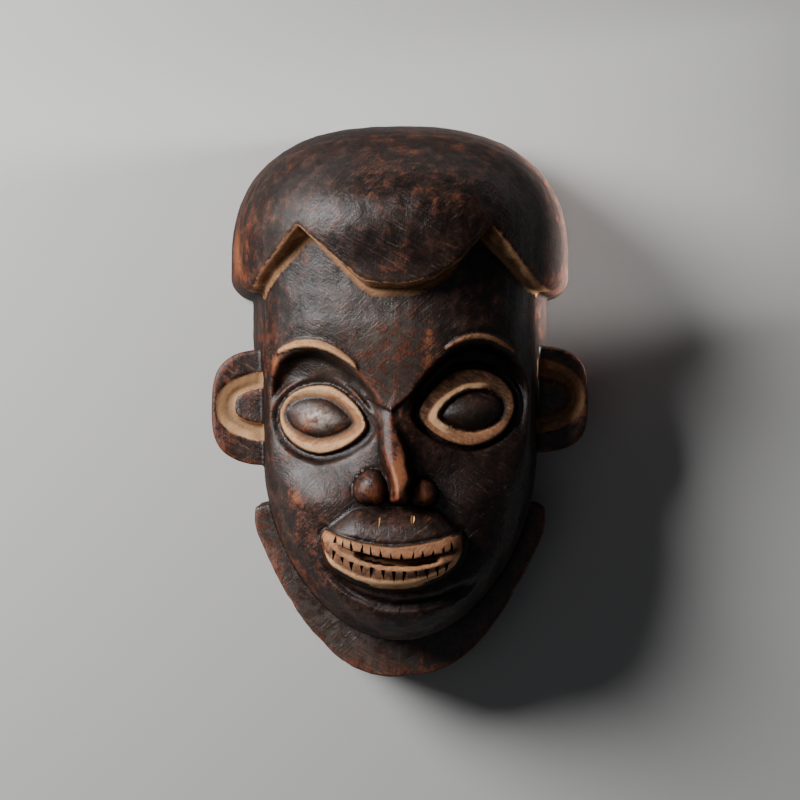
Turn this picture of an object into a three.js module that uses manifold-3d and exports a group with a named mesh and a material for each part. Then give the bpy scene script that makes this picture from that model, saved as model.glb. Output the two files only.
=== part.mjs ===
// Carved wooden face mask: one block with hair cap, ears, face, toothed mouth and collar, open at the back.
// It lies face up on its rear rim: +Z out of the face, +Y to the crown, +X to the viewer's right.
// All sizes are in millimetres, angles in degrees.
import * as THREE from "three";
import Module from "manifold-3d";
import { mergeVertices } from "three/addons/utils/BufferGeometryUtils.js";

// Hair cap: a domed shell that stands proud of the forehead
const CAP_HALF_WIDTH = 132;
const CAP_DEPTH = 200;
const CAP_ROUND = 2.5;
const CAP_WAIST_Y = 105;
const CROWN_Y = 214;
const CAP_STAND_OFF = 28;
// Below this height the front of the cap falls back towards the forehead, by this share of its depth
const FALL_BACK_FROM_Y = 150;
const FALL_BACK_SHARE = 0.06;
const CAP_COLUMNS = 42;
const CAP_ROWS = 9;
// Shares of the columns between the rear, the side lobe, the notch and the middle
const CAP_COLUMN_SHARES = [0.15, 0.13, 0.22];

// Zigzag hairline: one round middle lobe, two notches, two side lobes
const MIDDLE_LOBE_Y = 84;
const NOTCH_X = 71;
const NOTCH_Y = 127;
const SIDE_LOBE_X = 109;
const SIDE_LOBE_Y = 84;
const REAR_HAIRLINE_Y = 82;
const HAIRLINE_SHIFT_X = -4;
const LOBE_FLAT = 0.3;
const LOBE_BEND = 0.12;
const LOBE_POWER = 2.2;
const FOOT_DROP = 5;
const STEEPEST_HAIRLINE = 1.3;

// Head block
const FACE_HALF_WIDTH = 102;
const FACE_EDGE_Z = 104;
const JAW_START_Y = -40;
const CHIN_TIP_Y = -179;
const JAW_POWER = 1.9;
const FACE_ROUND = 2.2;
const TEMPLE_REAR_HALF_WIDTH = 116;
const JAW_REAR_FLARE = 5;
const TEMPLE_Y = 60;
const HEAD_TOP_Y = 150;
const SIDE_KNEE_SHARE = 0.25;
const CARVING_ENDS_AT = 0.86;

// Height of the middle line from the hair down to the chin: [y, z]
const RIDGE_LINE = [
  [150, 165],
  [127, 171],
  [60, 170],
  [6, 160],
  [-66, 152],
  [-150, 168],
];

// How closely the face is sampled: rings up the face, columns by share of the half width
const LOWER_FACE_RINGS = 41;
const FOREHEAD_RINGS = 8;
const RING_SPREAD = 1.06;
const FIRST_RING_UP = 0.4;
const BROW_ROW_Y = 52;
const FACE_ZONES = [
  { reach: 0.27, steps: 6 },
  { reach: 0.78, steps: 7 },
  { reach: 1, steps: 6 },
];

// Eye sockets: steep right under the brow, running out softly towards the cheek
const SOCKETS = [
  { x: -58, inner: 47, outer: 46 },
  { x: 56, inner: 56, outer: 46 },
];
const SOCKET_Y = -11;
const SOCKET_HALF_HEIGHT = 62;
const SOCKET_DEPTH = 16;
const SOCKET_STEP_RUN = 8;
const SOCKET_UPPER_PART = { from: -0.5, to: 0.4 };
const SOCKET_UPPER_WALL = { from: 0.8, to: 1 };
const SOCKET_LOWER_WALL = { from: 0.35, to: 1.1 };
const SOCKET_LOWER_SHARE = 0.6;

// The forehead ends in a blunt point between the sockets, a step above the root of the nose
const POINT_X = -6;
const POINT_Y = -6;
const POINT_LEFT_SLOPE = 0.5;
const POINT_RIGHT_SLOPE = 0.9;
const POINT_STEP = 3;
const POINT_RUN = 3;
const POINT_FADE = 26;
const POINT_HALF_WIDTH = { from: 16, to: 26 };

// Nose: a crest that leans to the left, a facet on its right, and two drop-shaped wings
const NOSE_TOP_Y = 2;
const NOSE_TIP_Y = -64;
const NOSE_END_Y = -77;
const NOSE_END_RUN = 7;
const NOSE_RISE = 31;
const NOSE_CURVE = 1.15;
const NOSE_LEFT_RUN = { top: 5, bottom: 8.5 };
// A narrow face slants down to the left of the crest before the side falls away
const CREST_FACE_WIDTH = 5;
const CREST_FACE_SLOPE = 0.45;
const NOSE_RIGHT_RUN = 7;
const FACET_WIDTH = 10;
const FACET_FALL = 0.18;
const FACET_GROWS = { from: 0.15, to: 0.65 };
const FACET_SHRINKS = { from: 0.86, to: 1 };
const FACET_END_SHARE = 0.55;
const NOSE_LINE = [
  [-76, -0.5],
  [-60, -1.2],
  [-46, -5.2],
  [-28, -6.6],
  [-8, -6.4],
];
const ALAE = [
  { x: -21, y: -63, radius: 13 },
  { x: 16.5, y: -66, radius: 11.5 },
];
const ALA_TOP_Z = 169;
const ALA_STRETCH = 1.08;
const ALA_MERIDIANS = 14;
const ALA_PARALLELS = 8;

// Lips, cheeks and chin
const MUZZLE_RISE = 15;
const MUZZLE_ROUND = 18;
const MUZZLE_MIDDLE_X = -4.5;
const MUZZLE_HALF_WIDTH = 56;
const MUZZLE_TOP_Y = -77;
const MUZZLE_SHOULDERS = [
  { x: -32, y: -76, nx: -0.581, ny: 0.814 },
  { x: 29, y: -79, nx: 0.641, ny: 0.769 },
];
const MUZZLE_MARGIN = 2.5;
const MUZZLE_UNDER_SHARE = 0.8;
const LIP_CURVE = 2.2;
const CHEEK_X = 58;
const CHEEK_Y = -66;
const CHEEK_SPREAD = 24;
const CHEEK_RISE = 6;
const CREASE_Y = -149;
const CREASE_LIFT_LEFT = 0.0085;
const CREASE_LIFT_RIGHT = 0.0048;
const CREASE_DEPTH = 5;
const CREASE_SPREAD = 4;
const CREASE_ENDS = { from: 42, to: 62 };

// Eyes: a low ball inside an almond ring with a bevelled inner edge; a groove runs round the ring.
// "groove" and "lip" are shares of the ring's size.
const EYES = [
  {
    side: -1,
    tilt: -9,
    ring: { x: -56.5, y: -13, halfWidth: 32.5, halfHeight: 25.3 },
    ball: { x: -59.8, y: -11.5, halfWidth: 24.6, halfHeight: 14.5 },
    plane: { z: 138, slope: 0.34, curve: 0 },
    groove: 1.1,
    lip: 1.18,
  },
  {
    side: 1,
    tilt: 9,
    ring: { x: 49.6, y: -4, halfWidth: 36.3, halfHeight: 29 },
    ball: { x: 53.2, y: -6.5, halfWidth: 23.9, halfHeight: 14.8 },
    plane: { z: 139, slope: 0.275, curve: 0.0015 },
    groove: 1.05,
    lip: 1.1,
  },
];
const EYE_STEPS = 24;
const INNER_CORNER_POWER = 1.55;
const OUTER_CORNER_POWER = 2;
const CORNER_BLEND = 0.3;
const GROOVE_LOW = -2.5;
const LIP_RISE = 0.5;
const LIP_DRAFT = 0.03;
// Steps of the eye from under the ring to the ball: [0 ball outline to 1 ring outline, scale, height]
const EYE_PROFILE = [
  [1, 1, -30],
  [1, 1, 2],
  [0.86, 1, 3.2],
  [0.45, 1, 2.8],
  [0, 1, 0],
  [0, 0.75, 3.2],
  [0, 0.5, 5.3],
  [0, 0.25, 6.6],
];
const EYEBALL_TOP = 7;

// Brows
const BROWS = [
  { x0: -90, x1: -31, y0: 37, y1: 25, arch: 11.2, width: 6.8 },
  { x0: 33, x1: 85, y0: 38.5, y1: 36.5, arch: 10.3, width: 5.2 },
];
const BROW_RISE = 2.5;
const BROW_SINK = 10;
const BROW_STEPS = 12;
const BROW_TIP_SHARE = 0.25;
const BROW_TAPER_POWER = 2.5;
const BROW_CREST_AT = -0.3;
const BROW_LOWER_RISE = 1.5;

// Mouth: light crescent band, two rows of cut teeth, a deep groove between them
// Each line sags from its ends: { high, sag, middle, span, power }
const BAND_TOP = { high: -91, sag: 13.4, middle: -4.5, span: 50, power: 1.5 };
const BAND_BOTTOM = { high: -104, sag: 34, middle: -5, span: 54, power: 2 };
const UPPER_TEETH = { high: -98, sag: 17, middle: 2, span: 52, power: 1.6 };
const LOWER_TEETH = { high: -101, sag: 20.5, middle: 1, span: 52, power: 1.8 };
const BAND_LEFT_X = -58;
const BAND_RIGHT_X = 48;
const GAP_LEFT_X = -33;
const GAP_RIGHT_X = 28;
const BAND_RISE = 2.6;
const BAND_CORNER = 5;
const BAND_CORNER_POWER = 6;
const BAND_ROOT = 12;
const GAP_SHARE = 0.5;
const GAP_DEPTH = 9;
const GAP_LIFT = 0.5;
const THINNEST_SLAB = 0.4;
const TOOTH_COUNT = 12;
const TOOTH_LEFT_X = -45;
const TOOTH_RIGHT_X = 36;
const TOOTH_CUT_WIDTH = 2;
const UPPER_CUT_HEIGHT = 4;
const LOWER_CUT_HEIGHT = 7;
const TOOTH_CUT_DEPTH = 4;
const TOOTH_CUT_OVERLAP = 1;
const MOUTH_STEPS = 18;

// Ears
const EARS = [
  {
    side: -1,
    rim: { middle: -4, half: 45, reach: 143, power: 3 },
    groove: { middle: -3.4, half: 26.5, reach: 139, power: 2.3 },
    boss: { middle: -3.2, half: 13.8, reach: 124.5, power: 2.6 },
  },
  {
    side: 1,
    rim: { middle: 2, half: 41, reach: 143, power: 3.4 },
    groove: { middle: 4.6, half: 29, reach: 139.5, power: 2.3 },
    boss: { middle: 3.4, half: 15, reach: 128, power: 2.6 },
  },
];
const EAR_ROOT_X = 92;
const EAR_FRONT_Z = 90;
const EAR_THICKNESS = 26;
const EAR_REAR_INSET = 3;
const EAR_REAR_ROUND = 5;
const EAR_FRONT_ROUND = 1.5;
const EAR_GROOVE_DEPTH = 5.5;
const EAR_GROOVE_RUN = 8;
const BOSS_FLARE = 1.5;
const BOSS_DROP = 0.5;
const EAR_STEPS = 14;

// Collar board behind the chin
const COLLAR_HALF_WIDTH = 111;
const COLLAR_TOP_Y = -79;
const COLLAR_BOTTOM_Y = -210;
const COLLAR_POWER = 2.4;
const COLLAR_FRONT_Z = 80;
const COLLAR_FALL = 6;
const COLLAR_STEPS = 24;
const COLLAR_END_DROP = 16;
const COLLAR_SHOULDER_IN = 20;
const COLLAR_SHOULDER_UP = 4;

// Hollow behind the face
const HOLLOW_HALF_WIDTH = 92;
const HOLLOW_TOP_Y = 188;
const HOLLOW_BOTTOM_Y = -176;
const HOLLOW_MIDDLE_Y = 10;
const HOLLOW_DEPTH = 132;
const HOLLOW_ROUND = 2.4;
const HOLLOW_LEVELS = 9;
const HOLLOW_STEPS = 32;
const HOLLOW_ROOF_SHARE = 0.985;

// Cutters reach this far past the wood, and just past its rear plane
const REACH_BEYOND = 60;
const PAST_THE_RIM = 1;
const WELD = 1e-4;

const WOOD_COLOUR = 0x3a2417;
const WOOD_ROUGHNESS = 0.6;

// The middle of the block's length lies over the frame's origin
const MIDDLE_Y = (CROWN_Y + COLLAR_BOTTOM_Y) / 2;

const wasm = await Module();
wasm.setup();

const clamp = THREE.MathUtils.clamp;
const smooth = THREE.MathUtils.smoothstep;

function mix(a, b, t) {
  return a + (b - a) * t;
}

// Superellipse fall-off: 1 at the middle, 0 at the edge.
function dome(t, power) {
  return Math.pow(Math.max(0, 1 - Math.pow(Math.min(1, Math.abs(t)), power)), 1 / power);
}

function signedPower(v, power) {
  return Math.sign(v) * Math.pow(Math.abs(v), power);
}

function bell(d, spread) {
  return Math.exp(-(d * d) / (spread * spread));
}

function shapeFrom(points, faces) {
  const geometry = new THREE.BufferGeometry();
  const flat = new Float32Array(points.flatMap((p) => [p.x, p.y, p.z]));
  geometry.setAttribute("position", new THREE.BufferAttribute(flat, 3));
  geometry.setIndex(faces);
  return geometry;
}

function solid(geometry) {
  geometry.deleteAttribute("normal");
  geometry.deleteAttribute("uv");
  const merged = mergeVertices(geometry, WELD);
  const mesh = new wasm.Mesh({
    numProp: 3,
    vertProperties: new Float32Array(merged.attributes.position.array),
    triVerts: new Uint32Array(merged.index.array),
  });
  return new wasm.Manifold(mesh);
}

// Closed loft through rings of equal count; the ends close to the rings' middles or to given tips.
// Each four-sided cell is split along its shorter diagonal.
function loft(rings, firstTip, lastTip) {
  const count = rings[0].length;
  const points = rings.flat();
  const faces = [];
  for (let r = 0; r + 1 < rings.length; r++) {
    for (let i = 0; i < count; i++) {
      const a = r * count + i;
      const b = r * count + ((i + 1) % count);
      const c = a + count;
      const d = b + count;
      if (points[a].distanceToSquared(points[d]) <= points[b].distanceToSquared(points[c])) {
        faces.push(a, b, d, a, d, c);
      } else {
        faces.push(a, b, c, b, d, c);
      }
    }
  }
  const middle = (ring) => {
    const sum = new THREE.Vector3();
    ring.forEach((p) => sum.add(p));
    return sum.divideScalar(ring.length);
  };
  const start = points.push(firstTip ?? middle(rings[0])) - 1;
  const end = points.push(lastTip ?? middle(rings[rings.length - 1])) - 1;
  const last = (rings.length - 1) * count;
  for (let i = 0; i < count; i++) {
    const next = (i + 1) % count;
    faces.push(start, next, i);
    faces.push(end, last + i, last + next);
  }
  return solid(shapeFrom(points, faces));
}

// The face is a height over the plan, built from the features below.

function faceHalfWidth(y) {
  const t = clamp((JAW_START_Y - y) / (JAW_START_Y - CHIN_TIP_Y), 0, 1);
  return FACE_HALF_WIDTH * dome(t, JAW_POWER);
}

// 0 on the middle line, 1 on the outline of the face and jaw.
function planRadius(x, y) {
  const t = Math.max(0, (JAW_START_Y - y) / (JAW_START_Y - CHIN_TIP_Y));
  const across = Math.abs(x) / FACE_HALF_WIDTH;
  return Math.pow(Math.pow(across, JAW_POWER) + Math.pow(t, JAW_POWER), 1 / JAW_POWER);
}

function ridgeLine(y) {
  for (let i = 0; i + 1 < RIDGE_LINE.length; i++) {
    const [y0, z0] = RIDGE_LINE[i];
    const [y1, z1] = RIDGE_LINE[i + 1];
    if (y >= y1) {
      return mix(z0, z1, smooth(y0 - y, 0, y0 - y1));
    }
  }
  return RIDGE_LINE[RIDGE_LINE.length - 1][1];
}

// The brow's arch, carried on past its ends.
function browLine(b, x) {
  const t = (x - b.x0) / (b.x1 - b.x0);
  return mix(b.y0, b.y1, t) + b.arch * (1 - Math.pow(2 * t - 1, 2));
}

function socketCut(x, y) {
  const [socket, above] = x < 0 ? [SOCKETS[0], BROWS[0]] : [SOCKETS[1], BROWS[1]];
  const away = Math.abs(x) - Math.abs(socket.x);
  const u = away / (away < 0 ? socket.inner : socket.outer);
  const v = (y - SOCKET_Y) / SOCKET_HALF_HEIGHT;
  const upper = smooth(v, SOCKET_UPPER_PART.from, SOCKET_UPPER_PART.to);
  const from = mix(SOCKET_LOWER_WALL.from, SOCKET_UPPER_WALL.from, upper);
  const to = mix(SOCKET_LOWER_WALL.to, SOCKET_UPPER_WALL.to, upper);
  const inside = 1 - smooth(Math.hypot(u, v), from, to);
  const below = browLine(above, x) - above.width / 2 - y;
  const step = smooth(below, 0, SOCKET_STEP_RUN);
  return SOCKET_DEPTH * inside * step * mix(SOCKET_LOWER_SHARE, 1, upper);
}

function pointStep(x, y) {
  const off = x - POINT_X;
  const edge = POINT_Y + (off < 0 ? -POINT_LEFT_SLOPE : POINT_RIGHT_SLOPE) * off;
  const fade = 1 - smooth(edge - y, POINT_RUN, POINT_FADE);
  const across = 1 - smooth(Math.abs(off), POINT_HALF_WIDTH.from, POINT_HALF_WIDTH.to);
  return POINT_STEP * smooth(edge - y, 0, POINT_RUN) * fade * across;
}

function noseMiddle(y) {
  const last = NOSE_LINE.length - 1;
  if (y <= NOSE_LINE[0][0]) {
    return NOSE_LINE[0][1];
  }
  for (let i = 0; i < last; i++) {
    const [y0, x0] = NOSE_LINE[i];
    const [y1, x1] = NOSE_LINE[i + 1];
    if (y <= y1) {
      return mix(x0, x1, (y - y0) / (y1 - y0));
    }
  }
  return NOSE_LINE[last][1];
}

function noseRise(x, y) {
  const along = clamp((NOSE_TOP_Y - y) / (NOSE_TOP_Y - NOSE_TIP_Y), 0, 1);
  const end = smooth(y, NOSE_END_Y, NOSE_END_Y + NOSE_END_RUN);
  const lift = NOSE_RISE * Math.pow(along, NOSE_CURVE) * end;
  const off = x - noseMiddle(y);
  if (off < 0) {
    const crest = Math.max(0, lift - CREST_FACE_SLOPE * Math.min(-off, CREST_FACE_WIDTH));
    const past = Math.max(0, -off - CREST_FACE_WIDTH);
    const t = clamp(past / mix(NOSE_LEFT_RUN.top, NOSE_LEFT_RUN.bottom, along), 0, 1);
    return crest * (1 - (t + smooth(t, 0, 1)) / 2);
  }
  const grown = smooth(along, FACET_GROWS.from, FACET_GROWS.to);
  const shrunk = mix(1, FACET_END_SHARE, smooth(along, FACET_SHRINKS.from, FACET_SHRINKS.to));
  const facet = FACET_WIDTH * grown * shrunk;
  const fall = FACET_FALL * clamp(off / (facet + NOSE_RIGHT_RUN), 0, 1);
  return lift * (1 - fall) * (1 - smooth(off, facet, facet + NOSE_RIGHT_RUN));
}

// Distance outside the muzzle's outline in the plan: flat top, slanted shoulders, the lower lip's arc.
function muzzleDistance(x, y) {
  const top = y - MUZZLE_TOP_Y;
  const shoulders = MUZZLE_SHOULDERS.map((s) => s.nx * (x - s.x) + s.ny * (y - s.y));
  const side = Math.abs(x - MUZZLE_MIDDLE_X) - MUZZLE_HALF_WIDTH;
  const under = (mouthLine(x, BAND_BOTTOM) - MUZZLE_MARGIN - y) * MUZZLE_UNDER_SHARE;
  return Math.max(top, ...shoulders, side, under);
}

function lipRise(x, y) {
  const t = clamp(-muzzleDistance(x, y) / MUZZLE_ROUND, 0, 1);
  return MUZZLE_RISE * (1 - Math.pow(1 - t, LIP_CURVE));
}

function creaseCut(x, y) {
  const line = CREASE_Y + (x < 0 ? CREASE_LIFT_LEFT : CREASE_LIFT_RIGHT) * x * x;
  const across = 1 - smooth(Math.abs(x), CREASE_ENDS.from, CREASE_ENDS.to);
  return CREASE_DEPTH * bell(y - line, CREASE_SPREAD) * across;
}

function cheekRise(x, y) {
  return CHEEK_RISE * bell(Math.hypot(Math.abs(x) - CHEEK_X, y - CHEEK_Y), CHEEK_SPREAD);
}

function faceHeight(x, y) {
  const across = planRadius(x, y);
  const base = mix(FACE_EDGE_Z, ridgeLine(y), dome(across, FACE_ROUND));
  const keep = 1 - smooth(across, CARVING_ENDS_AT, 1);
  const raised = Math.max(noseRise(x, y), lipRise(x, y)) + cheekRise(x, y);
  const cutAway = creaseCut(x, y) + socketCut(x, y) + pointStep(x, y);
  return base + keep * (raised - cutAway);
}

function rearHalfWidth(y) {
  const half = faceHalfWidth(y);
  const flare = TEMPLE_REAR_HALF_WIDTH - FACE_HALF_WIDTH;
  return half + mix(JAW_REAR_FLARE, flare, smooth(y, JAW_START_Y, TEMPLE_Y));
}

// Shares of the half width at which the face is sampled: close over the nose and at the edge.
function faceColumns() {
  const half = [0];
  let start = 0;
  FACE_ZONES.forEach(({ reach, steps }, zone) => {
    for (let i = 1; i <= steps; i++) {
      const t = zone === FACE_ZONES.length - 1 ? Math.sin(((i / steps) * Math.PI) / 2) : i / steps;
      half.push(mix(start, reach, t));
    }
    start = reach;
  });
  const left = half.slice(1).reverse().map((v) => -v);
  return left.concat(half);
}

function faceRows() {
  const rows = [];
  const first = CHIN_TIP_Y + FIRST_RING_UP;
  for (let r = 0; r <= LOWER_FACE_RINGS; r++) {
    rows.push(mix(first, BROW_ROW_Y, Math.pow(r / LOWER_FACE_RINGS, RING_SPREAD)));
  }
  for (let r = 1; r <= FOREHEAD_RINGS; r++) {
    rows.push(mix(BROW_ROW_Y, HEAD_TOP_Y, r / FOREHEAD_RINGS));
  }
  return rows;
}

function head() {
  const columns = faceColumns();
  const rings = faceRows().map((y) => {
    const half = faceHalfWidth(y);
    const rear = rearHalfWidth(y);
    const ring = [];
    ring.push(new THREE.Vector3(-rear, y, 0));
    ring.push(new THREE.Vector3(mix(-rear, -half, SIDE_KNEE_SHARE), y, FACE_EDGE_Z / 2));
    columns.forEach((share) => {
      ring.push(new THREE.Vector3(half * share, y, faceHeight(half * share, y)));
    });
    ring.push(new THREE.Vector3(mix(rear, half, SIDE_KNEE_SHARE), y, FACE_EDGE_Z / 2));
    ring.push(new THREE.Vector3(rear, y, 0));
    return ring;
  });
  return loft(rings);
}

// 0 in the middle of the lobe, 1 at the notch. The left flank is straight, the right one is hollow.
function lobeCurve(t, right) {
  if (right) {
    return Math.pow(t, LOBE_POWER);
  }
  const bend = (v) => {
    const w = (v - LOBE_FLAT) / (1 - LOBE_FLAT);
    return 0.5 * (w + Math.sqrt(w * w + LOBE_BEND * LOBE_BEND));
  };
  return (bend(t) - bend(0)) / (bend(1) - bend(0));
}

function hairlineY(x, angle) {
  const off = Math.abs(x - HAIRLINE_SHIFT_X);
  if (off <= NOTCH_X) {
    return mix(MIDDLE_LOBE_Y, NOTCH_Y, lobeCurve(off / NOTCH_X, x > HAIRLINE_SHIFT_X));
  }
  if (off <= SIDE_LOBE_X) {
    return mix(NOTCH_Y, SIDE_LOBE_Y, (off - NOTCH_X) / (SIDE_LOBE_X - NOTCH_X));
  }
  const lobeAngle = Math.abs(capAngle(Math.sign(x) * SIDE_LOBE_X + HAIRLINE_SHIFT_X));
  return mix(SIDE_LOBE_Y, REAR_HAIRLINE_Y, (Math.abs(angle) - lobeAngle) / (Math.PI / 2 - lobeAngle));
}

// Direction in the plan from the hairline towards the face, square to the line.
function awayFromHair(x, angle) {
  const rise = hairlineY(x + 1, angle) - hairlineY(x - 1, angle);
  const slope = clamp(rise / 2, -STEEPEST_HAIRLINE, STEEPEST_HAIRLINE);
  return new THREE.Vector3(slope, -1, 0).normalize();
}

function capAngle(x) {
  const share = Math.min(1, Math.abs(x) / CAP_HALF_WIDTH);
  return Math.sign(x) * Math.asin(Math.pow(share, CAP_ROUND / 2));
}

function capDepth(y) {
  const fallen = smooth(FALL_BACK_FROM_Y - y, 0, FALL_BACK_FROM_Y - REAR_HAIRLINE_Y);
  return CAP_DEPTH * (1 - FALL_BACK_SHARE * fallen);
}

function capPoint(angle, y) {
  const k = dome(clamp((y - CAP_WAIST_Y) / (CROWN_Y - CAP_WAIST_Y), 0, 1), CAP_ROUND);
  const x = CAP_HALF_WIDTH * k * signedPower(Math.sin(angle), 2 / CAP_ROUND);
  const z = capDepth(y) * k * Math.pow(Math.max(0, Math.cos(angle)), 2 / CAP_ROUND);
  return new THREE.Vector3(x, y, z);
}

function capInward(p) {
  const nx = signedPower(p.x / CAP_HALF_WIDTH, CAP_ROUND - 1) / CAP_HALF_WIDTH;
  const depth = capDepth(p.y);
  const nz = Math.pow(Math.max(0, p.z) / depth, CAP_ROUND - 1) / depth;
  return new THREE.Vector3(-nx, 0, -nz).normalize();
}

// Columns run from the hairline to the crown; knots fall on the lobes and the notches.
function capAngles() {
  const knots = [-SIDE_LOBE_X, -NOTCH_X, 0, NOTCH_X, SIDE_LOBE_X].map((x) => capAngle(x + HAIRLINE_SHIFT_X));
  const stops = [-Math.PI / 2, ...knots, Math.PI / 2];
  const shares = [...CAP_COLUMN_SHARES, ...CAP_COLUMN_SHARES.slice().reverse()];
  const angles = [];
  shares.forEach((share, s) => {
    const n = Math.round(share * CAP_COLUMNS);
    for (let i = 0; i < n; i++) {
      angles.push(mix(stops[s], stops[s + 1], i / n));
    }
  });
  angles.push(Math.PI / 2);
  return angles;
}

function cap() {
  const angles = capAngles();
  const points = [];
  const faces = [];
  const rows = CAP_ROWS + 2;
  angles.forEach((angle) => {
    const widest = capPoint(angle, CAP_WAIST_Y);
    const start = hairlineY(widest.x, angle);
    const edge = capPoint(angle, start);
    const foot = edge.clone().addScaledVector(capInward(edge), CAP_STAND_OFF);
    foot.addScaledVector(awayFromHair(widest.x, angle), FOOT_DROP);
    foot.z = Math.max(0, foot.z);
    points.push(foot);
    for (let j = 0; j <= CAP_ROWS; j++) {
      const t = j / CAP_ROWS;
      const y = mix(start, CROWN_Y, Math.sin((t * Math.PI) / 2));
      points.push(capPoint(angle, y));
    }
  });
  for (let c = 0; c + 1 < angles.length; c++) {
    for (let j = 0; j + 1 < rows; j++) {
      const a = c * rows + j;
      const b = a + rows;
      faces.push(a, b, b + 1);
      if (j + 2 < rows) {
        faces.push(a, b + 1, a + 1);
      }
    }
  }
  const heart = points.push(new THREE.Vector3(0, CAP_WAIST_Y, 0)) - 1;
  for (let c = 0; c + 1 < angles.length; c++) {
    faces.push(heart, (c + 1) * rows, c * rows);
  }
  const lastColumn = (angles.length - 1) * rows;
  for (let j = 0; j + 1 < rows; j++) {
    faces.push(heart, j, j + 1);
    faces.push(heart, lastColumn + j + 1, lastColumn + j);
  }
  return solid(shapeFrom(points, faces));
}

// An almond between the ball's outline (0) and the ring's (1), laid on the eye's plane.
function almond({ side, tilt, ring, ball, plane }, outward, scale, height) {
  const points = [];
  const turn = THREE.MathUtils.degToRad(tilt);
  const middleX = mix(ball.x, ring.x, outward);
  const middleY = mix(ball.y, ring.y, outward);
  for (let i = 0; i < EYE_STEPS; i++) {
    const a = (i / EYE_STEPS) * 2 * Math.PI;
    const corner = smooth(Math.cos(a) * side, -CORNER_BLEND, CORNER_BLEND);
    const power = mix(INNER_CORNER_POWER, OUTER_CORNER_POWER, corner);
    const u = mix(ball.halfWidth, ring.halfWidth, outward) * scale * signedPower(Math.cos(a), 2 / power);
    const v = mix(ball.halfHeight, ring.halfHeight, outward) * scale * signedPower(Math.sin(a), 2 / power);
    const x = middleX + u * Math.cos(turn) - v * Math.sin(turn);
    const y = middleY + u * Math.sin(turn) + v * Math.cos(turn);
    const off = side * (x - ring.x);
    points.push(new THREE.Vector3(x, y, plane.z - plane.slope * off - plane.curve * off * off + height));
  }
  return points;
}

function eyePit(eye) {
  return loft([
    almond(eye, 1, eye.groove, GROOVE_LOW),
    almond(eye, 1, eye.lip, LIP_RISE),
    almond(eye, 1, eye.lip + LIP_DRAFT, REACH_BEYOND),
  ]);
}

function eyePlug(eye) {
  const rings = EYE_PROFILE.map(([outward, scale, height]) => almond(eye, outward, scale, height));
  const off = eye.side * (eye.ball.x - eye.ring.x);
  const top = new THREE.Vector3(eye.ball.x, eye.ball.y, eye.plane.z - eye.plane.slope * off + EYEBALL_TOP);
  return loft(rings, undefined, top);
}

// A strip standing on the face along a line of plan points.
function strip(line, width, rise, sink) {
  const rings = line.map((p, i) => {
    const before = line[Math.max(0, i - 1)];
    const after = line[Math.min(line.length - 1, i + 1)];
    const along = new THREE.Vector2(after.x - before.x, after.y - before.y).normalize();
    const side = new THREE.Vector2(-along.y, along.x);
    const taper = mix(BROW_TIP_SHARE, 1, dome((2 * i) / (line.length - 1) - 1, BROW_TAPER_POWER));
    const w = (width / 2) * taper;
    const corner = (s, dz) => {
      const x = p.x + side.x * w * s;
      const y = p.y + side.y * w * s;
      return new THREE.Vector3(x, y, faceHeight(p.x, p.y) + dz);
    };
    return [
      corner(1, rise),
      corner(BROW_CREST_AT, rise),
      corner(-1, BROW_LOWER_RISE),
      corner(-1, -sink),
      corner(1, -sink),
    ];
  });
  return loft(rings);
}

function brow(b) {
  const line = [];
  for (let i = 0; i <= BROW_STEPS; i++) {
    const x = mix(b.x0, b.x1, i / BROW_STEPS);
    line.push(new THREE.Vector2(x, browLine(b, x)));
  }
  return strip(line, b.width, BROW_RISE, BROW_SINK);
}

function ala(wing) {
  const ball = new THREE.SphereGeometry(wing.radius, ALA_MERIDIANS, ALA_PARALLELS);
  ball.scale(1, ALA_STRETCH, 1);
  ball.translate(wing.x, wing.y, ALA_TOP_Z - wing.radius);
  return solid(ball);
}

// A line of the mouth: an arc that sags between its ends.
function mouthLine(x, line) {
  return line.high - line.sag * dome((x - line.middle) / line.span, line.power);
}

// A solid between two arcs of the mouth, from a depth below the lips to a height above them.
function mouthSlab(x0, x1, upper, lower, low, high) {
  const rings = [];
  for (let i = 0; i <= MOUTH_STEPS; i++) {
    const s = (1 - Math.cos((i / MOUTH_STEPS) * Math.PI)) / 2;
    const x = mix(x0, x1, s);
    const top = upper(x);
    const bottom = Math.min(lower(x), top - THINNEST_SLAB);
    const zTop = faceHeight(x, top);
    const zBottom = faceHeight(x, bottom);
    rings.push([
      new THREE.Vector3(x, top, zTop + low),
      new THREE.Vector3(x, top, zTop + high),
      new THREE.Vector3(x, (top + bottom) / 2, faceHeight(x, (top + bottom) / 2) + high),
      new THREE.Vector3(x, bottom, zBottom + high),
      new THREE.Vector3(x, bottom, zBottom + low),
    ]);
  }
  return loft(rings);
}

function lipBand() {
  const across = (x) => (2 * (x - BAND_LEFT_X)) / (BAND_RIGHT_X - BAND_LEFT_X) - 1;
  const ends = (x) => BAND_CORNER * (1 - dome(across(x), BAND_CORNER_POWER));
  const top = (x) => mouthLine(x, BAND_TOP) - ends(x);
  const bottom = (x) => mouthLine(x, BAND_BOTTOM) + ends(x) / 2;
  return mouthSlab(BAND_LEFT_X, BAND_RIGHT_X, top, bottom, -BAND_ROOT, BAND_RISE);
}

function mouthGap() {
  const top = (x) => mouthLine(x, UPPER_TEETH);
  const bottom = (x) => mix(top(x), mouthLine(x, LOWER_TEETH), GAP_SHARE) - GAP_LIFT;
  return mouthSlab(GAP_LEFT_X, GAP_RIGHT_X, top, bottom, BAND_RISE - GAP_DEPTH, REACH_BEYOND);
}

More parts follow.
